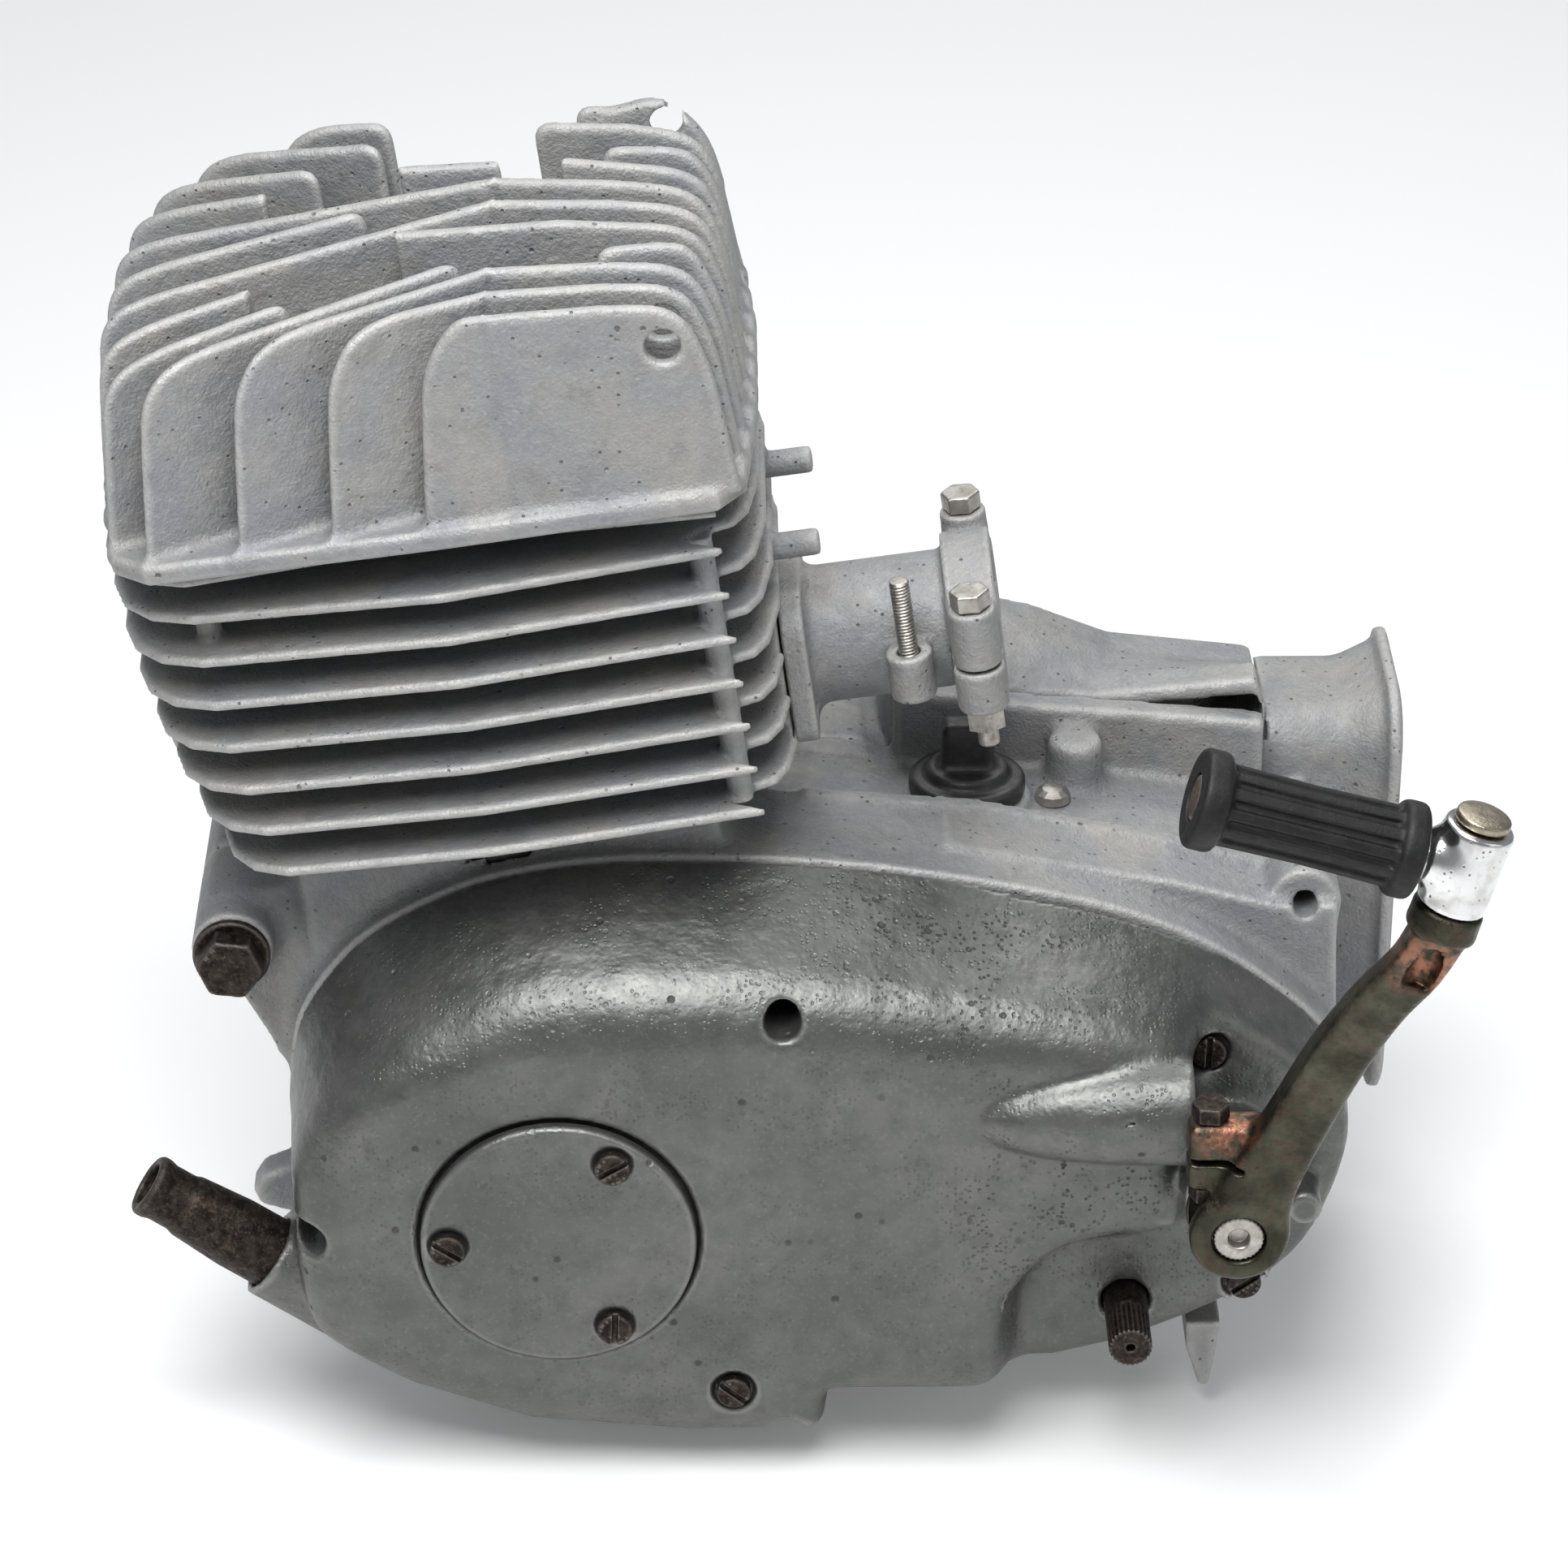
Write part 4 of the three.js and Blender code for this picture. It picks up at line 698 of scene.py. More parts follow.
RIGHT_TOP = [(97, 160), (97, 188), (138, 182), (164, 180), (206, 176)]
RIGHT_OUTLINE = [
    (-76, 82), (-72, 112), (-58, 138), (-34, 156), (0, 166), (60, 168), (88, 166), *RIGHT_TOP,
    (207, 52), (190, 36), (152, 24), (110, 16), (40, 7), (-10, 10), (-46, 26), (-68, 50),
]
RIGHT_BODY = [
    (-76, 82), (-72, 112), (-58, 138), (-34, 160), (0, 170), (60, 168), (96, 164), (160, 160), (205, 152),
    (222, 150), (224, 100), (211, 57), (189, 40), (152, 26), (110, 18), (40, 8), (-10, 12), (-46, 26),
    (-68, 50),
]
TUNNEL = {"x0": 207, "x1": 247, "y0": 44, "y1": 94, "z0": 50, "z1": 174}
OIL_PLUG = (118, 18)
TOP_SCREW = (143, 18)


def tunnel(x, y, z, grow, corner):
    """A rounded rectangle across X, grown by a margin that may change along X."""
    low, high = (TUNNEL["y0"], TUNNEL["z0"]), (TUNNEL["y1"], TUNNEL["z1"])
    a = np.abs(y - (low[0] + high[0]) / 2) - (high[0] - low[0]) / 2 - grow + corner
    b = np.abs(z - (low[1] + high[1]) / 2) - (high[1] - low[1]) / 2 - grow + corner
    return np.minimum(np.maximum(a, b), 0) + np.hypot(np.maximum(a, 0), np.maximum(b, 0)) - corner


def right_flat(x, z):
    curved = spline(RIGHT_OUTLINE[14:] + RIGHT_OUTLINE[:7], 4, closed=False)
    return polygon(x, z, curved + RIGHT_OUTLINE[7:14])


def crankcase_right(x, y, z):
    low, high = SPLIT_Y + GAP / 2, RIGHT_JOINT_Y - GAP
    made = prism(polygon(x, z, spline(RIGHT_BODY, 4)), y, low, high, 1)
    made = union(made, prism(right_flat(x, z), y, 37, high, 1), 4)
    made = union(made, prism(polygon(x, z, SOLE), y, low, high, 1), 3)
    made = union(made, deck(x, y, z, low, high - 2), 6)
    made = union(made, prism(polygon(x, z, FRONT_ARM), y, low, 34, 3), 8)
    made = union(made, bar(x, z, y, MOUNT_BOSS, 11.5, low, high, 1), 6)
    made = union(made, bar(x, y, z, OIL_PLUG, 18, 150, 164.4, 1), 4)
    made = union(made, bar(x, y, z, (150, 30), 8, 150, 176, 3), 5)
    x0, x1 = TUNNEL["x0"], TUNNEL["x1"]
    flare = 4 * ease(x, x1 - 18, x1 - 1)
    skin = meet(tunnel(x, y, z, flare, 14), np.maximum(x0 - 4 - x, x - x1), 1)
    rim = meet(tunnel(x, y, z, 7.6, 18), np.maximum(x1 - 3.4 - x, x - x1), 1.2)
    skin = union(skin, rim, 3)
    inside = tunnel(x, y, z, -WALL + 5 * ease(x, x1 - 16, x1 + 1), 11)
    skin = np.maximum(skin, -inside)
    skin = np.maximum(skin, -block(x, y, z, (150, high, 0), (x0 + GAP, 140, 260), 0))
    made = without(made, prism(polygon(x, z, GEARBOX), y, -20, 33))
    made = np.maximum(made, -bores(x, y, z))
    made = union(made, skin, 2)
    made = np.maximum(made, -np.maximum(inside, np.maximum(high - y, x - x1 - 5)))
    made = without(made, block(x, y, z, (170, high, 54), (208, 120, 170), 0))
    made = without(made, bar(x, y, z, OIL_PLUG, 8.6, 130, 175))
    made = without(made, bar(x, y, z, TOP_SCREW, 2.7, 150, 175))
    return np.maximum(made, low - y)


def right_cover(x, y, z):
    upward = np.clip((z - 150) / 26, 0, 1) * ease(x, 88, 100) * (1 - ease(x, 204, 208))
    far_lift = np.interp(x, (100, 139, 163, 204), (14, 11, 3, 2))
    near_lift = np.interp(x, (157, 203), (0, 9))
    far_share = np.interp(y, (46, 58, 72, 84, 91, 96), (0, 0.65, 1, 1, 0.6, 0))
    lift = (far_lift * far_share + near_lift * np.interp(y, (46, 56, 72), (1, 1, 0))).astype(np.float32)
    inset = np.interp(y, (46, 84, 91, 96), (0, 1, 3, 6)).astype(np.float32)
    made = meet(right_flat(x, z) - lift * upward + inset, y - RIGHT_FACE_Y, 10)
    hollow = made + WALL
    made = union(made, bar(x, z, y, CRANK, 46, 80, RIGHT_FACE_Y + 3.4, 2), 2)
    made = np.maximum(meet(made, RIGHT_JOINT_Y + 0.2 - y, 1), -hollow)
    made = without(made, block(x, y, z, (180, 52, 60), (225, 88, 154), 3))
    for at in ((-52, 100), (112, 168), (150, 40), (28, 22)):
        made = without(made, bar(x, z, y, at, 5.9, 84, 130), 1)
    return made


# ---------------------------------------------------------------- cylinder
PEGS = [(69, -61.5, 0), (69, 61.5, 0), (-66, -60, 5), (-66, 60, 5)]  # u, v and the fin that each starts from


def fin_plan(scale, half_width):
    """Plan of one cylinder fin, its front scaled: chevron sides, and a scallop by each rear peg."""
    rear = [(86, 30), (83, 50), (79, 57), (71, 60), (66.5, 63), (67, 67), (77, 73.3)]
    front = [(-68, 73.5), (-80, 68), (-88, 58), (-92, 44), (-94, 0)]
    side = rear + [(0, half_width)] + [(u * scale, v) for u, v in front]
    return side + [(u, -v) for u, v in side[::-1] if v]


def cylinder(u, v, h):
    made = prism(np.hypot(u, v) - 48, h, DECK_H + 1.2, BARREL_TOP_H, 0.3)
    for i in range(8):
        scale = 1 - 0.0046 * max(6 - i, 0) ** 2
        plan = polygon(u, v, fin_plan(scale, 77 + 0.5 * i if i < 7 else 68))
        low = FIN_H0 + FIN_PITCH * i if i < 7 else 207
        half = 1.5 + 0.7 * ease(-plan, 1, 22)
        made = union(made, meet(plan, np.abs(h - low - FIN_THICK / 2) - half, 1.8), 3)
    foot = [(-60, -38), (-54, -44), (54, -44), (60, -38), (60, 38), (54, 44), (-54, 44), (-60, 38)]
    made = union(made, prism(polygon(u, v, foot), h, DECK_H + 1.2, DECK_H + 9, 1), 3)
    for at in STUDS:
        made = union(made, bar(u, v, h, at, 9, DECK_H + 2, BARREL_TOP_H, 0.5), 3)
    for pu, pv, first in PEGS:
        low, high = FIN_H0 + first * FIN_PITCH + 1, FIN_H0 + 6 * FIN_PITCH + 2
        made = union(made, bar(u, v, h, (pu, pv), 3.5, low, high), 1)
    made = union(made, bar(v, h, u, (0, EXHAUST_H), 27, -89.8, -30, 1.5), 4)
    made = union(made, block(u, v, h, (30, -27, PORT_H - 22), (PORT_FACE_U - GAP, 27, PORT_H + 22), 1), 4)
    for pv, ph in ((14, 180), (-14, 168)):
        made = union(made, bar(v, h, u, (pv, ph), 3.8, 80, 98.6, 1.2), 1.5)
    low, high = (PORT_FACE_U - GAP, -34, PORT_H - 24), (140, 34, PORT_H + 24)
    made = without(made, block(u, v, h, low, high, 0.2))
    made = without(made, bar(u, v, h, (0, 0), LINER_R + GAP, 80, 240, 0.2))
    for at in STUDS:
        made = without(made, bar(u, v, h, at, 4.7, 80, 240, 0.2))
    made = without(made, bar(v, h, u, (0, EXHAUST_H), 19, -110, -30), 1)
    made = without(made, bar(v, h, u, (0, PORT_H), 14, 30, 130))
    for pv in (-20, 20):
        made = without(made, bar(v, h, u, (pv, PORT_H - 14), 2.9, 60, 90, 0.2))
    return made


# ---------------------------------------------------------------- head
FAN_FINS = [
    ((24, -76.5), (-1, -77.5)), ((24, -61.2), (-26, -77.5)), ((24, -45.9), (-51, -77.5)),
    ((16, -34.3), (-76, -76)), ((-30, -44), (-87, -66)), ((-35.5, -29), (-90, -44)), ((24, 0), (-92, -22)),
    ((-12, 9), (-92, 0)), ((24, 15.3), (-92, 22)), ((-32, 33), (-90, 44)), ((-27.5, 45), (-85, 61)),
    ((-10, 55), (-74, 74)), ((-8, 70), (-50, 77.5)),
]
# for each straight fin, where it begins and its rear end, from the left side to the right
STRAIGHT_FINS = [
    (24, 83.5), (24, 84.5), (24, 85.5), (52, 86), (-2, 86.5), (24, 86.5),
    (24, 86), (-3, 86), (52, 85.5), (33, 85), (44, 84),
]
HEAD_PLAN = [
    (-76, -81.5), (-86, -72), (-92, -30), (-92, 30), (-86, 72), (-76, 81.5), (0, 83), (77, 81.5), (84.5, 72),
    (88, 30), (88, -30), (84.5, -72), (77, -81.5), (0, -83),
]
HEAD_BOLT = (69, 261.5)
PLUG_SEAT = (8, 26, 232)
PLUG_AXIS = (0.05, 0.5, 0.86)
FIN_FOOT_H = 217


def crown(u, v):
    """Height of the fins' tops: crowned, and behind the seam falling away to the right."""
    return CROWN_H - 0.0014 * u**2 - 0.0012 * (v + 30) * max(u - HEAD_SEAM_U, 0)


def fin_sides(flat, across, h):
    """A fin of a flat outline: thick at its foot and thin at its round-edged top."""
    half = HEAD_FIN_THICK / 2 + 0.35 - 0.6 * ease(h, HEAD_BASE_H, CROWN_H)
    return meet(flat, np.abs(across) - half, 2.2)


def fan_fin(u, v, h, ends):
    (u0, v0), (u1, v1) = ends
    slope = (v1 - v0) / (u1 - u0)
    free = u0 < HEAD_SEAM_U
    front = u1 + 17
    outline = rounded([
        (u0, FIN_FOOT_H, 0), (u0, crown(u0, 0) - 2 * free, 6 * free), (front, crown(front, 0), 13),
        (u1 + 7, 264, 8), (u1 + 4, 246, 8), (u1, FIN_FOOT_H, 0),
    ])
    across = (v - v0 - slope * (u - u0)) / math.hypot(1, slope)
    return fin_sides(polygon(u, h, outline), across, h)


def straight_fin(u, v, h, u0, u1, plane):
    free = u0 > HEAD_SEAM_U
    middle = (u0 + u1) / 2
    outline = rounded([
        (u0 - 0.4, FIN_FOOT_H, 0), (u0 - 0.4, crown(u0, plane) - 2 * free, 6 * free),
        (middle, crown(middle, plane), 0), (u1 - 8, crown(u1 - 8, plane), 12), (u1 - 2.5, 252, 8),
        (u1, FIN_FOOT_H, 0),
    ])
    return fin_sides(polygon(u, h, outline), v - plane, h)


def cylinder_head(u, v, h):
    made = prism(polygon(u, v, HEAD_PLAN), h, HEAD_BASE_H, HEAD_BASE_H + HEAD_BASE_THICK, 1.6)
    dome = [(50, 0), (46, 14), (30, 22), (0, 24)]
    made = union(made, turned(u, v, h, dome, (0, 0, HEAD_BASE_H), (0, 0, 1)), 5)
    for at in STUDS:
        made = union(made, bar(u, v, h, at, 11.5, HEAD_BASE_H + 1, 238, 1), 4)
    fins = [fan_fin(u, v, h, ends) for ends in FAN_FINS]
    for i, (u0, u1) in enumerate(STRAIGHT_FINS):
        fins.append(straight_fin(u, v, h, u0, u1, (i - 5) * HEAD_FIN_PITCH))
    made = union(made, all_of(fins, 0.8), 3.5)
    ear = rounded([
        (44, 255, 0), (44, 263, 4), (58, 268, 4), (65, 269, 4), (71, 267, 4), (76, 261, 4), (79, 253, 4),
        (82, 240, 0), (70, 240, 0),
    ])
    made = union(made, prism(polygon(u, h, ear), v, HEAD_SIDE_V - 2.6, HEAD_SIDE_V + 2.6, 1.2), 2)
    chamber = (np.sqrt((u / 32) ** 2 + (v / 32) ** 2 + ((h - HEAD_BASE_H) / 13) ** 2) - 1) * 13
    made = without(made, chamber)
    unit = np.array(PLUG_AXIS) / np.linalg.norm(PLUG_AXIS)
    seat = np.array(PLUG_SEAT)
    made = without(made, turned(u, v, h, [(14, 0), (16, 60)], seat + 4 * unit, PLUG_AXIS), 1.5)
    made = without(made, turned(u, v, h, [(7.3, 0), (7.3, 30)], seat - 20 * unit, PLUG_AXIS))
    for low, high in ((-90, -55), (70, 90)):
        made = without(made, bar(u, h, v, HEAD_BOLT, 4.8, low, high), 1)
    for at in STUDS:
        made = without(made, bar(u, v, h, at, 4.6, 200, 320, 0.2))
        made = without(made, bar(u, v, h, at, 9, 238, 320), 1)
    return made


# ---------------------------------------------------------------- inlet stub with its split clamp
def clamp_ring(v, h, u):
    return bar(v, h, u, (0, PORT_H), 24, *CLAMP_U, 1)


def inlet_stub(u, v, h):
    made = bar(v, h, u, (0, PORT_H), 19.5, PORT_FACE_U + 1, CLAMP_U[1] - 10, 0.5)
    flange = rounded([
        (-30, PORT_H - 21, 9), (30, PORT_H - 21, 9), (26, PORT_H + 21, 12), (-26, PORT_H + 21, 12),
    ])
    made = union(made, prism(polygon(v, h, flange), u, PORT_FACE_U + GAP, PORT_FACE_U + 7, 1), 5)
    upper = clamp_ring(v, h, u)
    low, high = (CLAMP_U[0] + 1, -31, PORT_H - 20), (CLAMP_U[1] - 1, 31, PORT_H + 14)
    upper = union(upper, block(u, v, h, low, high, 2), 3)
    for side in (-31, 31):
        upper = union(upper, bar(u, v, h, (138, side), 6.6, PORT_H - 20, PORT_H + 18, 1), 2)
    upper = np.maximum(upper, PORT_H + 0.6 - h)
    made = union(made, upper, 2)
    made = union(made, bar(u, v, h, (119, -25), 6.5, PORT_H - 10, PORT_H + 4, 1), 2)
    made = union(made, block(u, v, h, (114, -24, PORT_H - 8), (124, -10, PORT_H + 3), 1), 3)
    lower = np.maximum(CLAMP_U[0] - 0.4 - u, h - PORT_H - 0.6)
    made = without(made, lower, 0.6)
    made = without(made, bar(v, h, u, (0, PORT_H), 14, 60, 180))
    made = without(made, bar(v, h, u, (0, PORT_H), 17.5, CLAMP_U[0] - 6, 180), 1)
    for side in (-31, 31):
        made = without(made, bar(u, v, h, (138, side), 3.4, 80, 190, 0.2))
    made = without(made, bar(u, v, h, (119, -25), 3.3, PORT_H - 6, 190, 0.2))
    for side in (-20, 20):
        made = without(made, bar(v, h, u, (side, PORT_H - 14), 2.9, 60, 100, 0.2))
    return made


def clamp_cap(u, v, h):
    made = clamp_ring(v, h, u)
    low, high = (CLAMP_U[0] + 1, -31, PORT_H - 10), (CLAMP_U[1] - 1, 31, PORT_H + 9)
    made = union(made, block(u, v, h, low, high, 2), 3)
    for side in (-31, 31):
        made = union(made, bar(u, v, h, (138, side), 7.2, PORT_H - 13, PORT_H + 9, 1), 2)
    made = meet(made, h - PORT_H + GAP / 2, 0.8)
    made = without(made, bar(v, h, u, (0, PORT_H), 17.5, 100, 180), 0.8)
    for side in (-31, 31):
        made = without(made, bar(u, v, h, (138, side), 3.4, 80, 190, 0.2))
    return made


def hex_bolt(p, q, c, centre, across, face, under, shank, end, outward=1):
    """A hexagon bolt along c: its head from face to under with a chamfer, then its shank to end."""
    head = prism(hexagon(p, q, centre, across, 0.4), c, min(face, under), max(face, under), 0.4)
    cone = (np.hypot(p - centre[0], q - centre[1]) - across * 0.5 - 0.2 - (c - face) * outward * 1.2) * 0.64
    head = np.maximum(head, cone)
    return union(head, bar(p, q, c, centre, shank, min(under, end), max(under, end), 0.4), 0.5)


def threaded(p, q, c, centre, radius, low, high, pitch_of_thread=1.0, depth=0.55):
    """A screw thread along c."""
    turn = np.arctan2(q - centre[1], p - centre[0]) / (2 * np.pi)
    phase = (c / pitch_of_thread - turn) % 1
    wave = np.abs(phase - 0.5) * 2
    return prism(disc(p, q, centre, radius) + depth * wave, c, low, high, 0.3) * 0.8


# ---------------------------------------------------------------- kick lever and pedal
def sweep(x, y, z, stations):
    """A bar of rounded rectangular section through stations (x, y, z, width in x-z, thickness along y)."""
    path = np.array(spline(stations, 4, closed=False))
    made = np.float32(1e6)
    for a, b in zip(path[:-1], path[1:]):
        run = b[[0, 2]] - a[[0, 2]]
        length = np.hypot(*run)
        ex, ez = run / length
        s = (x - a[0]) * ex + (z - a[2]) * ez
        t = np.clip(s / length, 0, 1)
        side = np.abs((x - a[0]) * ez - (z - a[2]) * ex) - (a[3] + t * (b[3] - a[3])) / 2 + 3.5
        rise = np.abs(y - a[1] - t * (b[1] - a[1])) - (a[4] + t * (b[4] - a[4])) / 2 + 3.5
        beyond = np.maximum(np.abs(s - length / 2) - length / 2, 0)
        round_part = np.sqrt(np.maximum(side, 0) ** 2 + np.maximum(rise, 0) ** 2 + beyond**2)
        made = np.minimum(made, round_part + np.minimum(np.maximum(side, rise), 0) - 3.5)
    return made


LEVER = [
    (190, -112, 104, 24, 16), (194.5, -115, 118, 20, 14), (201.5, -119, 135, 17, 12.5),
    (211.5, -126, 162, 16.5, 11.5), (221, -134, 184, 15.5, 11), (229.5, -140, 199, 15, 11),
    (234.5, -145, 213, 15, 12),
]


def kick_lever(x, y, z):
    hub = bar(x, z, y, KICK_SHAFT, 13.6, -121, -103, 2)
    made = union(sweep(x, y, z, LEVER), hub, 4)
    made = union(made, block(x, y, z, (174, -117, 112.8), (196, -106, 133.2), 2.5), 3)
    dx, dy, dz = x - PEDAL_PIVOT[0], y - PEDAL_PIVOT[1], z - PEDAL_PIVOT[2]
    s = dx * PIN_AXIS[0] + dz * PIN_AXIS[2]
    across = np.sqrt(np.maximum(dx * dx + dy * dy + dz * dz - s * s, 0))
    made = union(made, prism(across - 9.6, s, -20.6, -12.6, 1.2), 3)
    made = without(made, bar(x, z, y, KICK_SHAFT, 7.5, -140, -90), 1)
    made = without(made, prism(across - 4.2, s, -40, 10))
    made = without(made, np.maximum(np.abs(z - 122) - 0.9, x - 189), 0.5)
    made = without(made, bar(x, y, z, PINCH_BOLT, 6.2, 90, 112.8))
    return without(made, bar(x, y, z, PINCH_BOLT, 3.3, 90, 150))


def pinch_bolt(x, y, z):
    nut = prism(hexagon(x, y, PINCH_BOLT, 9.3, 0.4), z, 107.8, 112.5, 0.4)
    return union(hex_bolt(x, y, z, PINCH_BOLT, 9.3, 138.3, 133.5, 3, 108, -1), nut)


def pedal_arm(x, y, z):
    """x runs along the pedal, z along its pin."""
    barrel = bar(x, y, z, (0, 0), 9.4, -12.3, 12.1, 1.2)
    rod = union(bar(y, z, x, (0, 0), 7.4, 0, 11, 1), bar(y, z, x, (0, 0), 6.4, 0, 74.2, 1), 1.5)
    made = union(barrel, rod, 4)
    return without(made, bar(x, y, z, (0, 0), 4.2, -30, 30, 0.2))


RIBS = 12


def pedal_rubber(x, y, z):
    """A sleeve with a collar at each end and flat ribs between them."""
    profile = rounded([
        (6.7, 13.4, 0), (13, 13.4, 2), (13, 19.5, 2), (11, 20.5, 1), (10.6, 44, 0), (11, 66.5, 1),
        (13.4, 67.5, 2), (13.4, 74.5, 2), (6.7, 74.5, 0),
    ], 4)
    groove = ease(np.cos(RIBS * np.arctan2(z, y)), 0.0, 0.6)
    reach = ease(x, 20, 22) * (1 - ease(x, 65, 67))
    return polygon(np.hypot(y, z), x, profile) + 1.3 * groove * reach


def pedal_pin(x, y, z):
    shank = bar(x, y, z, (0, 0), 3.8, -20.8, 14, 0.3)
    cap = bar(x, y, z, (0, 0), 7.4, 12.6, 15.8, 0.8)
    dome = np.sqrt(x * x + y * y + (z + 20) ** 2) - 35.9
    return union(shank, np.maximum(cap, dome))


# ---------------------------------------------------------------- small parts
def slotted_screw(x, y, z, at, face, radius, slot_angle):
    """A cheese-head screw whose face looks to -Y."""
    made = bar(x, z, y, at, radius, face, face + 3.4, 0.9)
    across = (x - at[0]) * math.sin(slot_angle) + (z - at[1]) * math.cos(slot_angle)
    return without(made, np.maximum(np.abs(across) - 0.75, y - face - 1.5), 0.3)


INSPECTION_SCREWS = [
    (31 * math.cos(angle), CRANK_Z + 31 * math.sin(angle))
    for angle in (math.pi + i * 2 * math.pi / 3 for i in range(3))
]


def inspection_cover(x, y, z):
    front = COVER_FACE_Y - 3.5
    made = bar(x, z, y, CRANK, INSPECTION_R, front, COVER_FACE_Y + 1.5, 1.6)
    made = union(made, bar(x, z, y, CRANK, INSPECTION_R - 7, COVER_FACE_Y, COVER_FACE_Y + 10.5))
    for at in INSPECTION_SCREWS:
        made = without(made, bar(x, z, y, at, 5.7, front - 9, front + 0.7), 0.5)
        made = without(made, bar(x, z, y, at, 5.3, front - 9, front + 1.2))
    return made


def around(x, z, centre):
    """Distance from a centre, and the angle about it."""
    dx, dz = x - centre[0], z - centre[1]
    return np.hypot(dx, dz), np.arctan2(dz, dx)


def shift_shaft(x, y, z):
    radius, turn = around(x, z, SHIFT_SHAFT)
    splines = (0.5 - 0.5 * np.cos(26 * turn)) * (1 - ease(y, -80, -79))
    made = prism(radius - 6.3 + 0.6 * splines, y, -94, -14, 0.5)
    return without(made, bar(x, z, y, SHIFT_SHAFT, 1.3, -99, -91), 0.5)


def kick_shaft(x, y, z):
    radius, turn = around(x, z, KICK_SHAFT)
    splines = (0.5 - 0.5 * np.cos(30 * turn)) * (1 - ease(y, -102, -101))
    made = prism(radius - 7.3 + 0.5 * splines, y, -120.4, -34, 0.6)
    made = union(made, bar(x, z, y, KICK_SHAFT, 8, -101, -34))
    return without(made, bar(x, z, y, KICK_SHAFT, 3, -125, -117), 0.8)


def oil_plug(x, y, z):
    made = bar(x, y, z, OIL_PLUG, 17, 164.8, 170.5, 2)
    made = union(made, bar(x, y, z, OIL_PLUG, 12, 168, 173.5, 1.5), 2)
    grip = block(x, y, z, (110.4, 13.4, 165), (125.6, 22.6, 187.8), 2.5)
    made = union(made, grip, 3)
    return union(made, bar(x, y, z, OIL_PLUG, 8, 152, 167))


def tacho_socket(x, y, z):
    profile = [
        (TACHO_R, 5.8), (TACHO_R, 34), (9.3, 50), (8.6, 52), (8.6, 58.5), (9.2, 60.5), (9.2, 62.6),
        (8.4, 63.6), (0, 63.6),
    ]
    radius = np.hypot(x, y)
    made = polygon(radius, z, [(-r, d) for r, d in profile[::-1]] + profile)
    made = without(made, bar(x, y, z, (0, 0), 6.2, 26, 80), 0.8)
    return without(made, bar(x, y, z, (0, 0), 5.0, 10, 80))


def washer(x, y, z):
    rim = bar(x, z, y, MOUNT_BOSS, 11, -48.2, -45.4)
    return without(rim, bar(x, z, y, MOUNT_BOSS, 6.2, -60, 0))


def make_pieces():
    piece("clutch_cover", clutch_cover, 1.0)
    piece("crankcase_left", crankcase_left, 1.3)
    piece("crankcase_right", crankcase_right, 1.4)
    piece("right_cover", right_cover, 1.4)
    piece("cylinder", cylinder, 1.05, BARREL)
    piece("cylinder_head", cylinder_head, 1.0, BARREL)
    piece("inlet_stub", inlet_stub, 0.7, BARREL)
    piece("clamp_cap", clamp_cap, 0.7, BARREL)
    piece("kick_lever", kick_lever, 0.8)
    piece("pedal_arm", pedal_arm, 0.6, PEDAL)
    piece("pedal_rubber", pedal_rubber, 0.5, PEDAL)
    piece("pedal_pin", pedal_pin, 0.45, PEDAL, "brass_cap")
    piece("inspection_cover", inspection_cover, 0.7)
    piece("shift_shaft", shift_shaft, 0.35)
    piece("kick_shaft", kick_shaft, 0.45)
    piece("oil_filler_plug", oil_plug, 0.6, LEVEL, "black_plastic")
    piece("tacho_socket", tacho_socket, 0.6, TACHO)
    for i, at in enumerate(INSPECTION_SCREWS):
        turn = i + 0.6
        piece(f"inspection_screw_{i + 1}",
              lambda x, y, z: slotted_screw(x, y, z, at, -98.6, 5, turn), 0.3)
        px, pz, face = COVER_SCREWS[i]
        turn = i * 0.9 + 0.7
        piece(f"cover_screw_{i + 1}",
              lambda x, y, z: slotted_screw(x, y, z, (px, pz), face - 1.4, 4.9, turn), 0.3)
    piece("front_mount_bolt", lambda x, y, z: hex_bolt(x, z, y, MOUNT_BOSS, 17, -56, -48.6, 5.8, 58), 0.6)
    piece("front_mount_washer", washer, 0.5)
    piece("kick_pinch_bolt", pinch_bolt, 0.35)
    for side, v in (("near", -31), ("far", 31)):
        piece("clamp_bolt_" + side,
              lambda x, y, z: hex_bolt(
                  x, y, z, (138, v), 10, PORT_H + 23.5, PORT_H + 18.4, 3, PORT_H - 25, -1),
              0.4, BARREL)
    piece("idle_stop_screw",
          lambda x, y, z: threaded(x, y, z, (119, -25), 2.9, PORT_H - 4, PORT_H + 26), 0.22, BARREL)


def dress_carried_nodes():
    """The CAD nodes that stay get their slot's finish, and a small bevel."""
    for name, obj in frame["nodes"].items():
        if obj.hide_render:
            continue
        obj.data.materials.clear()
        obj.data.materials.append(finishes[slots[name]])
        bevel = obj.modifiers.new("edge", "BEVEL")
        bevel.width, bevel.segments, bevel.limit_method = 0.3 * MM, 2, "ANGLE"
        bevel.angle_limit = math.radians(40)
        bevel.harden_normals = False


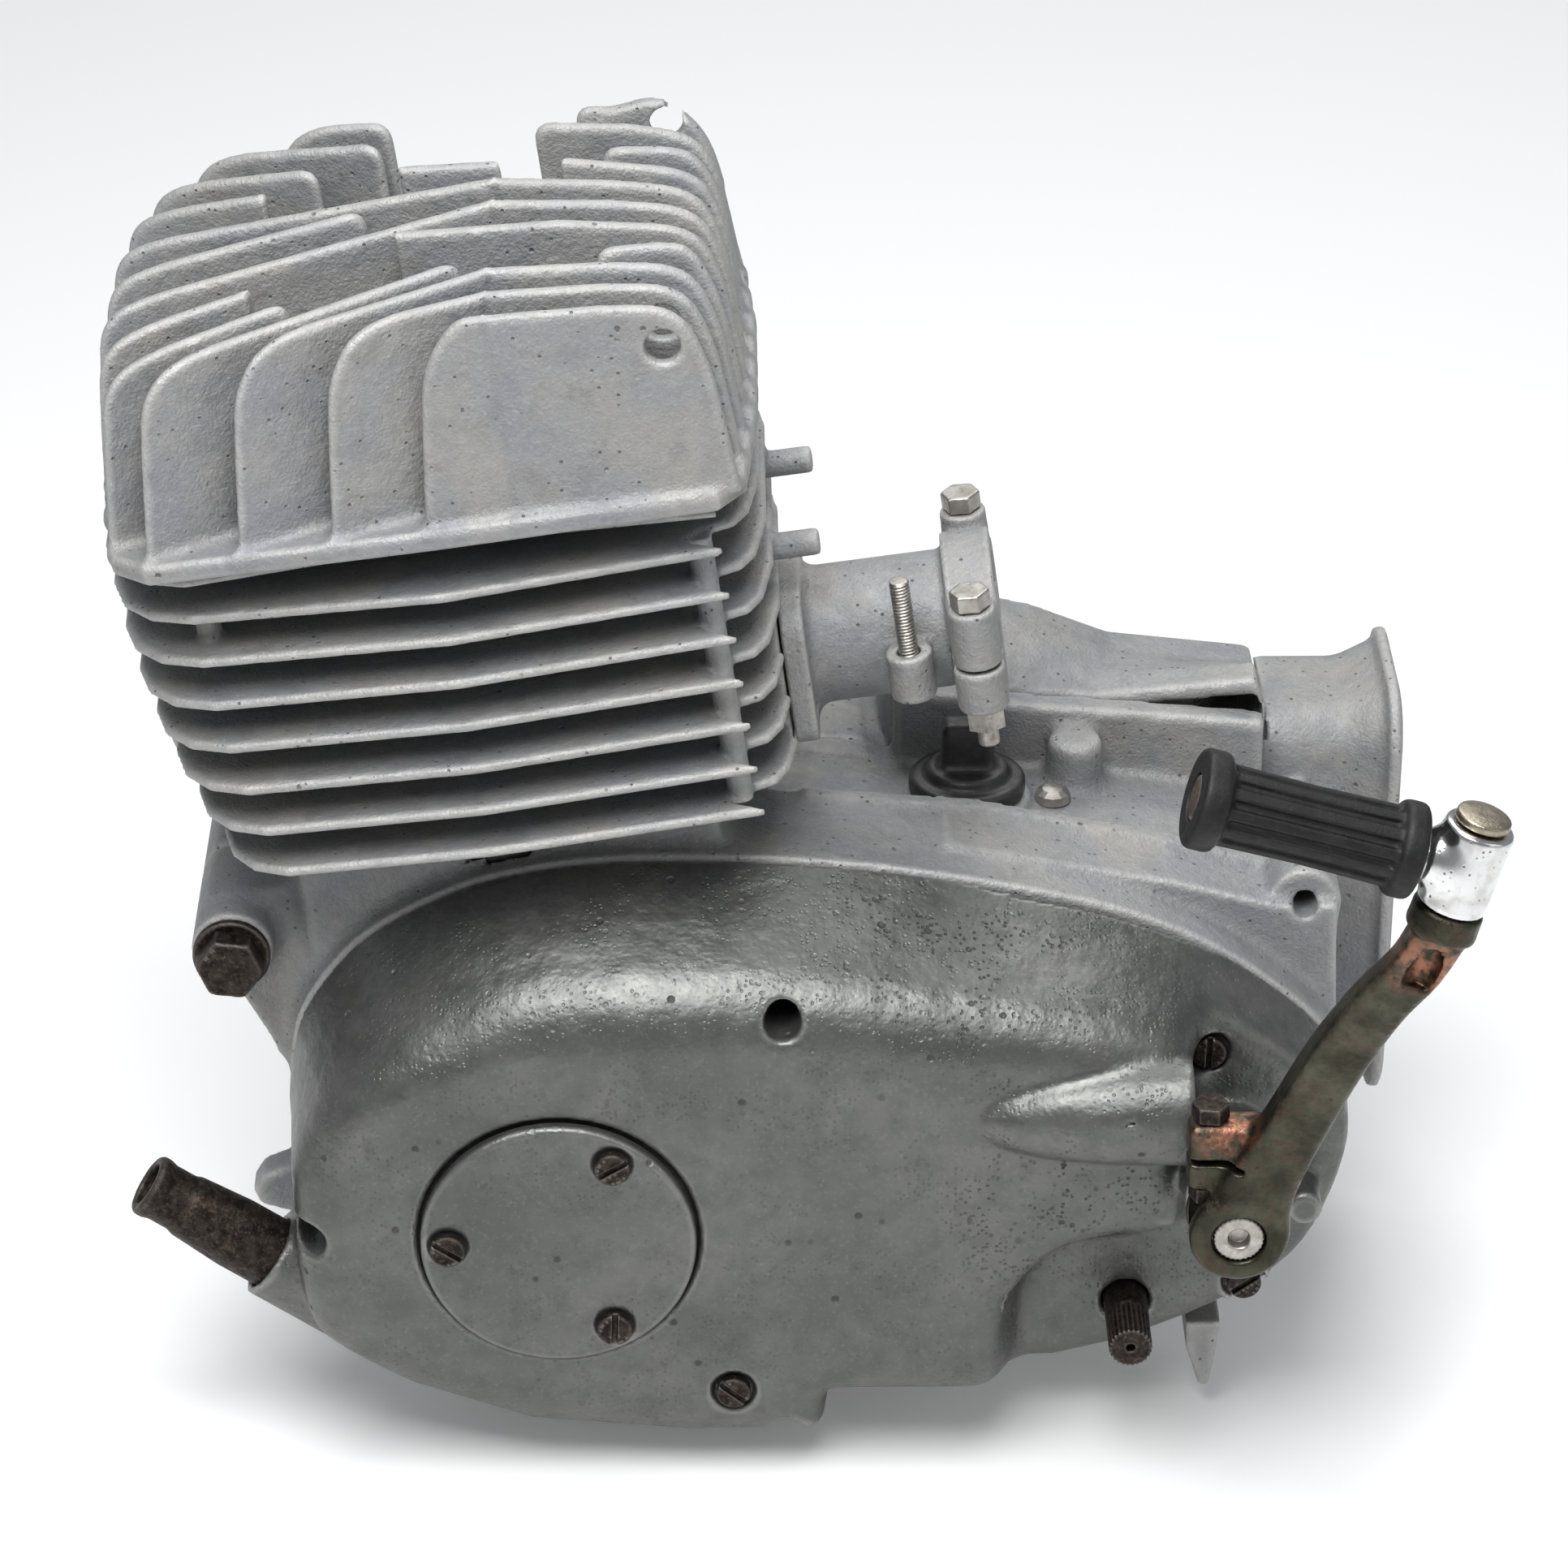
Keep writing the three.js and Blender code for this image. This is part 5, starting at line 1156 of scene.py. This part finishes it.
# ---------------------------------------------------------------- stage, light and camera
def make_stage():
    floor_finish = Finish("floor", 0.0, 0.75, (0.80, 0.80, 0.80), Emission_Strength=0.12).material
    floor_finish.node_tree.nodes["Principled BSDF"].inputs["Emission Color"].default_value = (1, 1, 1, 1)
    bpy.ops.mesh.primitive_plane_add(size=12, location=(0, 0, -0.0006))
    floor = bpy.context.object
    floor.name = "floor"
    floor.data.materials.append(floor_finish)
    world = bpy.data.worlds.new("studio")
    bpy.context.scene.world = world
    world.use_nodes = True
    world.node_tree.nodes["Background"].inputs["Color"].default_value = (0.92, 0.95, 1.0, 1)
    world.node_tree.nodes["Background"].inputs["Strength"].default_value = 0.3


def area_light(name, target, azimuth, elevation, distance, size, power):
    """A soft square lamp that looks at target from an azimuth and elevation in degrees."""
    a, e = math.radians(azimuth), math.radians(elevation)
    back = Vector((math.sin(a) * math.cos(e), -math.cos(a) * math.cos(e), math.sin(e)))
    lamp = bpy.data.lights.new(name, "AREA")
    lamp.shape, lamp.size, lamp.energy = "SQUARE", size, power
    obj = bpy.data.objects.new(name, lamp)
    bpy.context.scene.collection.objects.link(obj)
    obj.location = target + back * distance
    obj.rotation_mode = "QUATERNION"
    obj.rotation_quaternion = (-back).to_track_quat("-Z", "Y")


VIEW_AZIMUTH, VIEW_ELEVATION = -0.7, 29.0
VIEW_TARGET = Vector((0.0645, 0, 0.1771))
VIEW_DISTANCE = 1.5865
LENS = 126.7


def make_camera():
    a, e = math.radians(VIEW_AZIMUTH), math.radians(VIEW_ELEVATION)
    back = Vector((math.sin(a) * math.cos(e), -math.cos(a) * math.cos(e), math.sin(e)))
    data = bpy.data.cameras.new("camera")
    data.lens, data.sensor_width = LENS, 36
    camera = bpy.data.objects.new("camera", data)
    bpy.context.scene.collection.objects.link(camera)
    camera.location = VIEW_TARGET + back * VIEW_DISTANCE
    camera.rotation_mode = "QUATERNION"
    camera.rotation_quaternion = (-back).to_track_quat("-Z", "Y")
    bpy.context.scene.camera = camera


make_camera()
make_finishes()
make_pieces()
dress_carried_nodes()
make_stage()
middle = (cad_box[0] + cad_box[1]) / 2
area_light("key", middle, -18, 62, 1.0, 0.7, 15)
area_light("fill", middle, 60, 25, 2.2, 1.6, 6)
area_light("back", middle, 170, 55, 1.8, 1.2, 16)
bpy.context.scene.view_settings.view_transform = "Standard"
